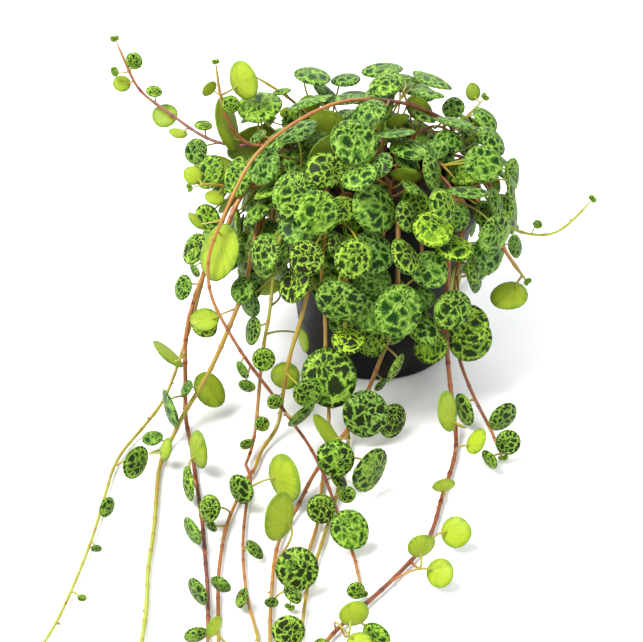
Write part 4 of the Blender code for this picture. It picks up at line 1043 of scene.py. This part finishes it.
def grow_scored(room, stems, rng):
    """The leaves that each long stem's own list names."""
    for owner, stem in enumerate(stems):
        for note in stem.score.split():
            node, size, side = int(note[:-2]), note[-2], note[-1]
            at = min(len(stem.route) - 2, round(node * NODE_STEP / FINE_STEP) + rng.choice((-1, 0, 1)))
            root = stem.route[at]
            run = unit(stem.route[min(at + 1, len(stem.route) - 1)] - stem.route[at - 1])
            radius = LEAF_RADIUS[size.lower()] * rng.uniform(0.93, 1.05)
            out = np.array((root[0], root[1], 0)) / max(1, math.hypot(root[0], root[1]))
            hanging = min(1, root[2] / 20)
            face = LIGHT + out * hanging * 0.5
            face = unit(astray(face, rng, 0.12))
            face = unit(face - run * (face @ run) * 0.8)
            left = unit(np.cross(run, face)) * (-1 if side == ">" else 1)
            front = -1 if size.isupper() else 1
            if side == "^":
                way = unit(run + left * rng.uniform(-0.3, 0.3))
                base = root + face * 2.8 * front - run * radius * 0.6
            else:
                way = unit(left + run * rng.uniform(0.5, 1.2))
                base = root + left * 1.6 + face * 1.8 * front
                lean = rng.uniform(0.1, 1.1)
                face = unit(face + left * lean * front)
                way = unit(way - face * (way @ face))
            low = (base + way * radius)[2] - radius * math.sqrt(1 - face[2] ** 2)
            rise = UP if front > 0 else UP - face * face[2]
            base = base + rise / rise[2] * max(0, 1.6 - low)
            out = face
            face = face * front
            grow(room, stems, owner, root, base, out, face, way, radius)


def grow_crown(room, stems, rng):
    """Leaves spread over the rest of the crown, each a golden angle on from the last."""
    for layer, scale in ((0, 1.0), (0.5, 0.9)):
        for k in range(CROWN_LEAVES):
            share = (k + layer) / CROWN_LEAVES
            height = CROWN_MIDDLE[2] + CROWN_RISE * 0.99 - share * (CROWN_RISE + CROWN_SKIRT)
            angle = (k + layer) * GOLDEN_ANGLE
            radius = rng.uniform(*CROWN_RADII) * scale
            grow_on_crown(room, stems, angle, height, radius, rng, TO_LIGHT)


def grow_on_bare(room, stems, rng):
    """A few small leaves for each stem that has hardly any, the first of them near its tip."""
    for owner, stem in enumerate(stems):
        for at in range(len(stem.route) - 2, 6, -2):
            for _ in range(8):
                if len(stem.leaves) >= FEWEST_LEAVES:
                    break
                root = stem.route[at]
                out = unit(np.array((root[0], root[1], rng.uniform(0, 30))))
                face = unit(astray(out, rng, 0.7))
                along = unit(np.cross(face, astray(np.zeros(3), rng, 1)))
                radius = rng.uniform(*BARE_RADII)
                base = root + face * 4 - along * radius * 0.8
                grow(room, stems, owner, root, base, out, face, along, radius)


def grown_stems():
    """All stems with their leaves."""
    rng = random.Random(SEED)
    stems = [Stem(name, *spec) for name, spec in LONG_STEMS.items()] + back_stems() + crown_shoots(rng)
    ease_apart(stems)
    room = Room(stems)
    grow_seen(room, stems)
    grow_scored(room, stems, rng)
    grow_crown(room, stems, rng)
    grow_on_bare(room, stems, rng)
    return stems


# The leaves
# Thick, leathery round blades. Their tops carry a light net of veins over dark blotches, like a turtle's
# shell: a few large ones round the middle and a ring of short dashes along the edge. Their undersides are
# plain and pale.
LEAF_SIDES = 18
BLADE_EDGE = 0.13
looks = random.Random(11)


def leaf_top():
    """The top of a leaf. Its attributes give the place on the blade, and how fresh or brown the leaf is."""
    made, shader, place = new_finish("leaf_top", Metallic=0.0, Specular_IOR_Level=0.10)
    spot = place.own("spot")
    kind = place.own("kind")
    seed, fresh, brown = (kind.part(letter) for letter in "XYZ")
    shift = place.joined(X=seed * 31, Y=seed * 17, Z=seed * 47)
    here = spot.vector("ADD", shift)
    wander = here.grain(2.6, 4.0, 0.6, "Color").vector("SUBTRACT", (0.5, 0.5, 0.5)).vector("SCALE", 0.44)
    tatter = here.grain(12.0, 4.0, 0.7)
    out = spot.length() + (tatter - 0.5) * 0.04
    fan = spot.vector("ADD", wander).vector("ADD", (HEEL_SHARE * 0.8, 0, 0))
    way = fan.vector("SCALE", 1.25 * (fan.length() + 0.26).math("POWER", -1))
    along = place.joined(Z=fan.length() * 1.9 + seed * 40)
    shells = way.vector("SCALE", 1.75).vector("ADD", along).cells(1.0)
    dashes = way.vector("SCALE", 4.4).vector("ADD", along.vector("SCALE", 1.6)).cells(1.0)
    streaks = way.vector("SCALE", 9.0).vector("ADD", along).grain(1.0, 3.0, 0.6)
    rim = (out + (here.grain(1.7, 1.0) - 0.5) * 0.16).rise(0.72, 0.86)
    depth = rim.blend(shells, dashes) + (streaks - 0.5) * 0.40 + (tatter - 0.5) * 0.32
    depth = depth - (out - 0.80).math("ABSOLUTE").rise(0.09, 0.0) * fresh * 0.16
    start = brown.blend(0.09, 0.03)
    full = brown.blend(0.27, 0.12)
    dark = brown.mix((0.006, 0.030, 0.003), (0.014, 0.015, 0.004))
    light = fresh.mix((0.215, 0.365, 0.080), (0.300, 0.450, 0.028))
    middle = fresh.mix((0.042, 0.135, 0.008), (0.066, 0.185, 0.005))
    cloud = here.grain(3.6, 4.0, 0.6).rise(0.3, 0.75)
    colour = depth.rise(-0.03, 0.11).mix(light, (cloud * 0.42).mix(middle, light))
    colour = (depth + (cloud - 0.5) * 0.10).rise(start, full).mix(colour, dark)
    edge = fresh.mix((0.190, 0.330, 0.055), (0.075, 0.190, 0.011))
    colour = out.rise(0.955, 0.985).mix(colour, edge)
    veins = depth.rise(0.14, 0.0)
    wear(shader, Base_Color=colour, Roughness=veins * 0.12 + 0.34 + tatter * 0.12,
         Normal=(1 - veins * 0.6 + tatter * 0.4 + place.grain(900, 3.0) * 0.3).bump(0.00026, 0.8))
    return made


def leaf_under():
    """The underside: pale and plain, deeper green at the rim, with faint veins that fan from the stalk."""
    made, shader, place = new_finish("leaf_under", Metallic=0.0, Specular_IOR_Level=0.16)
    spot = place.own("spot")
    kind = place.own("kind")
    seed, fresh = (kind.part(letter) for letter in "XY")
    from_stalk = spot.vector("ADD", (HEEL_SHARE, 0, 0))
    fan = from_stalk.vector("NORMALIZE").vector("ADD", place.joined(Z=seed * 9)).grain(4.5, 1.0)
    cloud = place.grain(260, 3.0)
    fleck = place.grain(1100, 3.0, 0.6)
    out = spot.length()
    pale = fresh.mix((0.210, 0.290, 0.026), (0.315, 0.405, 0.018))
    deep = fresh.mix((0.090, 0.160, 0.012), (0.140, 0.240, 0.013))
    shade = out.rise(0.62, 0.93) * 0.42 + fan.rise(0.48, 0.66) * 0.28 + cloud.rise(0.35, 0.7) * 0.28
    rib = spot.part("Y").math("ABSOLUTE").rise(0.05, 0.0) * out.rise(0.95, 0.6)
    shade = shade + (fleck - 0.5) * 0.6 - rib * 0.45
    edge = fresh.mix((0.06, 0.12, 0.012), (0.16, 0.30, 0.015))
    colour = out.rise(0.93, 0.98).mix(shade.rise(0, 1).mix(pale, deep), edge)
    wear(shader, Base_Color=colour, Roughness=cloud * 0.15 + 0.42,
         Normal=(cloud + fan * 0.6 + fleck * 0.5).bump(0.00022, 0.5))
    return made


tops = leaf_top()
undersides = leaf_under()
bpy.ops.object.select_all(action="DESELECT")
bpy.ops.mesh.primitive_circle_add(vertices=LEAF_SIDES, radius=1, fill_type="NGON")
blank_leaf = bpy.context.object
blank_leaf.name = "blank_leaf"
bpy.ops.object.mode_set(mode="EDIT")
bpy.ops.mesh.select_all(action="SELECT")
bpy.ops.mesh.inset(thickness=0.07)
bpy.ops.transform.translate(value=(0, 0, 0.1))
bpy.ops.mesh.inset(thickness=0.38)
bpy.ops.mesh.poke()
bpy.ops.mesh.select_all(action="DESELECT")
bpy.ops.mesh.select_mode(type="EDGE")
bpy.ops.mesh.select_non_manifold()
bpy.ops.mesh.extrude_edges_move(TRANSFORM_OT_translate={"value": (0, 0, -0.1)})
bpy.ops.transform.resize(value=(0.92, 0.92, 1))
bpy.ops.mesh.extrude_edges_move(TRANSFORM_OT_translate={"value": (0, 0, 0)})
bpy.ops.transform.resize(value=(0.6, 0.6, 1))
bpy.ops.mesh.edge_face_add()
bpy.ops.mesh.poke()
bpy.ops.mesh.select_all(action="SELECT")
bpy.ops.mesh.normals_make_consistent(inside=False)
bpy.ops.object.mode_set(mode="OBJECT")
blank_leaf.data.materials.append(tops)
blank_leaf.data.materials.append(undersides)
for face in blank_leaf.data.polygons:
    face.material_index = 0 if face.center.z > 0 else 1
    face.use_smooth = True


def give(mesh, name, kind, values):
    """Stores values on a mesh's corners."""
    held = mesh.attributes.new(name, kind, "POINT")
    held.data.foreach_set("vector" if kind == "FLOAT_VECTOR" else "value", np.asarray(values, "f").ravel())


def leaf_piece(leaf, fresh, brown):
    """A copy of the blank leaf, domed, a little folded and waved, and set in its place."""
    mesh = blank_leaf.data.copy()
    flat = np.empty(len(mesh.vertices) * 3)
    mesh.vertices.foreach_get("co", flat)
    x, y, side = flat.reshape(-1, 3).T
    out = np.hypot(x, y)
    angle = np.arctan2(y, x)
    size = leaf.radius
    swell = np.where(side > 0.01, 0.10 * size + 0.3, np.where(side < -0.01, -BLADE_BELLY, 0))
    lift = swell * (1 - out**2) + np.sign(side) * (np.abs(side) > 0.01) * BLADE_EDGE
    lift += size * (-looks.uniform(0.0, 0.10) * out**2 + looks.uniform(-0.02, 0.08) * np.abs(y)
                    + looks.uniform(0.0, 0.035) * out**2 * np.sin(2 * angle + looks.uniform(0, 6))
                    + looks.uniform(0.0, 0.02) * out**2 * np.sin(3 * angle + looks.uniform(0, 6)))
    long, wide = looks.uniform(0.96, 1.04), looks.uniform(0.92, 1.02)
    x = x + looks.uniform(-0.02, 0.10) * out * np.maximum(0, np.cos(angle)) ** 8
    across = np.cross(leaf.face, leaf.along)
    corners = (leaf.centre + np.outer(x * long * size, leaf.along) + np.outer(y * wide * size, across)
               + np.outer(lift, leaf.face)) * MM
    mesh.vertices.foreach_set("co", corners.ravel())
    give(mesh, "spot", "FLOAT_VECTOR", np.column_stack([out * np.cos(angle), y, 0 * x]))
    kind = (looks.random(), min(1, max(0, fresh)), min(1, max(0, brown)))
    give(mesh, "kind", "FLOAT_VECTOR", np.tile(kind, (len(x), 1)))
    made = bpy.data.objects.new("leaf", mesh)
    bpy.context.collection.objects.link(made)
    return made


# The stems
# Smooth round runners, a little swollen where each leaf stands. They are red-brown, orange or yellow-green,
# and end in two leaf buds. The leaves' thin stalks are of the same stuff.
TUBE_STEP = 0.75
STEM_SIDES = 8
STEM_SHARE = 0.80
ARCH_SHARE = 0.62
NUB_SHARE = 0.25
TIP_GREEN = 14
LEAF_SPREAD = 0.16
STALK_RADII = (0.42, 0.30, 0.27, 0.42)
NUB_RADII = np.array((0.34, 0.30, 0.16))
MERGE_GAP = 0.01
INNER_LEAVES = 260
INNER_RADII = (3.6, 6.2)
INNER_SKIRT = 22
INNER_EASE = 0.6
INNER_TO_LIGHT = 0.3
INSETS = (0.5, 3.0, 5.5)

# How red each stem is at even steps from its foot to its tip, and how fresh and how brown its leaves are
STEM_LOOKS = {
    "arching_stem": ((0.95, 0.92, 0.64, 0.45, 0.55, 0.90, 0.92, 0.80), 0.55, 0.25),
    "left_long_stem": ((0.55, 0.50, 0.52, 0.72, 0.95, 0.98, 0.92), 0.55, 0.35),
    "left_olive_stem": ((0.75, 0.55, 0.40, 0.22, 0.26, 0.06, 0.04), 0.60, 0.20),
    "far_left_stem": ((0.50, 0.38, 0.22, 0.12, 0.08), 0.60, 0.55),
    "front_left_stem": ((0.70, 0.42, 0.28, 0.26, 0.50, 0.72, 0.60), 0.55, 0.45),
    "front_thin_stem": ((0.60, 0.22, 0.12, 0.60, 0.85, 0.60, 0.35), 0.60, 0.50),
    "front_middle_stem": ((0.72, 0.48, 0.42, 0.60, 0.66, 0.50, 0.45), 0.60, 0.75),
    "front_yellow_stem": ((0.60, 0.30, 0.12, 0.14, 0.30, 0.22), 0.75, 0.65),
    "front_short_stem": ((0.70, 0.40, 0.34, 0.40, 0.35), 0.65, 0.80),
    "right_long_stem": ((0.80, 0.72, 0.80, 0.88, 0.95), 0.92, 0.30),
    "right_second_stem": ((0.75, 0.80, 0.85), 0.60, 0.45),
    "right_cut_stem": ((0.80, 0.66, 0.58), 0.70, 0.10),
    "red_shoot": ((0.85, 0.95, 0.90), 0.65, 0.30),
    "upright_shoot": ((0.85, 0.75, 0.60), 0.75, 0.20),
    "yellow_shoot": ((0.50, 0.42, 0.35), 0.80, 0.15),
    "pale_shoot": ((0.35, 0.12, 0.05), 0.80, 0.10),
    "small_left_shoot": ((0.60, 0.50, 0.40), 0.75, 0.25),
}
CROWN_LOOKS = ((0.9, 0.74, 0.50), 0.28, 0.12)


def stem_skin():
    """Stem skin: its colour follows how red the stem is there, with fine streaks and blotches."""
    made, shader, place = new_finish("stem_skin", Metallic=0.0)
    red = place.own("red", "Fac")
    blotch = place.grain(330, 3.0, 0.6)
    streak = place.grain(1500, 3.0, 0.6)
    tint = red + (blotch - 0.5) * 0.36 + (streak - 0.5) * 0.34
    colour = tint.node("ValToRGB", {"stops": [
        (0.0, (0.29, 0.36, 0.030)), (0.20, (0.27, 0.205, 0.014)), (0.40, (0.34, 0.150, 0.028)),
        (0.60, (0.25, 0.074, 0.018)), (0.80, (0.125, 0.024, 0.009)), (0.96, (0.045, 0.012, 0.006)),
        (1.0, (0.02, 0.009, 0.005))]}, {"Fac": tint * 0.8})
    wear(shader, Base_Color=colour, Roughness=blotch * 0.2 + 0.30,
         Normal=(blotch + streak).bump(0.00015, 0.4))
    return made


def tube(name, runs, finish):
    """Round tubes through runs of points, in one mesh. A run is its points, their radii and their redness."""
    curve = bpy.data.curves.new(name, "CURVE")
    curve.dimensions = "3D"
    curve.bevel_depth = MM
    curve.bevel_resolution = STEM_SIDES // 2 - 2
    curve.use_fill_caps = True
    for points, radii, _ in runs:
        spline = curve.splines.new("POLY")
        spline.points.add(len(points) - 1)
        for corner, point, radius in zip(spline.points, points, radii):
            corner.co = (*(point * MM), 1)
            corner.radius = radius
    curve.materials.append(finish)
    made = bpy.data.objects.new(name, curve)
    bpy.context.collection.objects.link(made)
    choose(made)
    bpy.ops.object.convert(target="MESH")
    bpy.ops.object.mode_set(mode="EDIT")
    bpy.ops.mesh.select_all(action="SELECT")
    bpy.ops.mesh.remove_doubles(threshold=MERGE_GAP * MM)
    bpy.ops.mesh.normals_make_consistent(inside=False)
    bpy.ops.object.mode_set(mode="OBJECT")
    bpy.ops.object.shade_smooth_by_angle(angle=math.radians(50))
    places = np.vstack([run[0] for run in runs]) * MM
    redness = np.concatenate([run[2] for run in runs])
    corners = np.empty(len(made.data.vertices) * 3)
    made.data.vertices.foreach_get("co", corners)
    corners = corners.reshape(-1, 3)
    nearest = ((corners[:, None] - places) ** 2).sum(axis=2).argmin(axis=1)
    give(made.data, "red", "FLOAT", redness[nearest])
    return made


def stem_piece(stem):
    """One leafy stem: its runner, its leaves' stalks, its leaves and the buds at its tip."""
    redness, fresh, brown = STEM_LOOKS.get(stem.name, CROWN_LOOKS)
    route = smooth_route(np.vstack([stem.foot, stem.route[1:]]), TUBE_STEP)
    run = np.linspace(0, 1, len(route))
    length = len(route) * TUBE_STEP
    node_step = round(NODE_STEP / TUBE_STEP)
    radii = np.array([stem.radius_at(s) for s in run])
    radii *= ARCH_SHARE if stem.name == "arching_stem" else STEM_SHARE
    red = np.interp(run, np.linspace(0, 1, len(redness)), redness)
    for station in range(3, len(route) - 2, node_step):
        radii[station] *= looks.uniform(1.08, 1.28)
        radii[station - 1:station + 2:2] *= 1.06
        red[station] += looks.uniform(0.0, 0.34)
    nubs = []
    for station in range(6, len(route) - 4, node_step):
        if looks.random() < NUB_SHARE:
            way = unit(np.cross(route[station + 1] - route[station], astray(np.zeros(3), looks, 1)))
            nub = route[station] + np.outer((0, 0.5, looks.uniform(0.6, 1.0)), way)
            nubs.append((nub, NUB_RADII, np.full(3, looks.uniform(0.2, 1.0))))
    left = (1 - run) * length
    radii *= np.clip(0.45 + left / 8, 0, 1)
    red = np.where(left < TIP_GREEN, red * (0.35 + 0.65 * left / TIP_GREEN), red)
    runs = [(route, radii, red)] + nubs
    pieces = []
    for leaf in stem.leaves:
        points = np.vstack([leaf.stalk(8), leaf.heel + leaf.face * 0.25])
        share = np.linspace(0, 1, len(points))
        here = red[np.linalg.norm(route - leaf.root, axis=1).argmin()]
        thick = np.interp(share, (0, 0.15, 0.8, 1), STALK_RADII) * min(1, 0.6 + leaf.radius / 12)
        runs.append((points, thick, 0.12 + (here - 0.12) * (1 - share) ** 3))
        green = fresh + looks.gauss(0, LEAF_SPREAD) - 0.075 * max(0, here - 0.4)
        pieces.append(leaf_piece(leaf, green, brown + looks.gauss(0, LEAF_SPREAD)))
    tip, ahead = route[-1], unit(route[-1] - route[-3])
    up = LIGHT - ahead * (LIGHT @ ahead)
    aside = unit(np.cross(ahead, up))
    for turn in (-1, 1):
        size = looks.uniform(0.65, 0.95)
        way = unit(ahead + aside * turn * 0.8)
        bud = Leaf(tip, tip + way * size + unit(up) * 0.25, unit(up) - aside * turn * 0.5, way, size)
        pieces.append(leaf_piece(bud, 0.9, 0.1))
    stalks = tube(stem.name + "_leafy", runs, skin)
    piece = join_pieces([stalks] + pieces, stem.name + "_leafy")
    finish_piece(piece, stem.name)


def fill_crown(stems):
    """Grows smaller leaves inside the crown, where they stand closer together than at its surface."""
    room = Room(stems, INNER_EASE)
    for owner, stem in enumerate(stems):
        for leaf in stem.leaves:
            room.add(owner, leaf)
    for k in range(INNER_LEAVES):
        share = (k + 0.5) / INNER_LEAVES
        height = CROWN_MIDDLE[2] + CROWN_RISE * 0.97 - share * (CROWN_RISE + INNER_SKIRT)
        grow_on_crown(room, stems, k * GOLDEN_ANGLE, height, looks.uniform(*INNER_RADII), looks,
                      INNER_TO_LIGHT, INSETS[k % len(INSETS)])


skin = stem_skin()
stems = grown_stems()
fill_crown(stems)
for leafy_stem in stems:
    stem_piece(leafy_stem)
bpy.data.objects.remove(blank_leaf)

# The stage
# A pale floor, a soft window-like light at the upper left, a bright even surround and a camera that looks
# down on the plant as in the photograph.
bpy.ops.object.select_all(action="DESELECT")
bpy.ops.mesh.primitive_plane_add(size=4, location=(0, 0, 0))
floor = bpy.context.object
floor.name = "floor"
floor.data.materials.append(new_finish("floor_paint", Base_Color=(0.86, 0.86, 0.86, 1), Roughness=0.7)[0])


def soft_light(name, spot, aim, size, power, colour):
    """A large soft lamp at a spot, aimed at another."""
    lamp = bpy.data.lights.new(name, "AREA")
    lamp.size = size
    lamp.energy = power
    lamp.color = colour
    made = bpy.data.objects.new(name, lamp)
    made.location = spot
    made.rotation_euler = (Vector(aim) - Vector(spot)).to_track_quat("-Z", "Y").to_euler()
    bpy.context.collection.objects.link(made)


soft_light("window", (-0.45, -0.25, 0.75), (0, 0, 0.04), 0.5, 13.5, (1.0, 0.99, 0.97))
soft_light("fill", (0.7, -0.5, 0.45), (0, 0, 0.03), 0.8, 3.5, (0.97, 0.99, 1.0))
soft_light("back", (0.1, 0.7, 0.6), (0, 0, 0.05), 0.6, 5.0, (1.0, 1.0, 1.0))
surround = bpy.data.worlds.new("surround")
surround.use_nodes = True
surround.node_tree.nodes["Background"].inputs["Color"].default_value = (0.95, 0.97, 1.0, 1)
surround.node_tree.nodes["Background"].inputs["Strength"].default_value = 0.80
bpy.context.scene.world = surround
bpy.context.scene.view_settings.view_transform = "Standard"
view = bpy.data.cameras.new("photo_view")
view.lens = 85.98
view.sensor_width = 36
camera = bpy.data.objects.new("photo_view", view)
camera.location = (-0.015, -0.3724, 0.222)
camera.rotation_euler = (math.radians(60), 0, 0)
bpy.context.collection.objects.link(camera)
bpy.context.scene.camera = camera
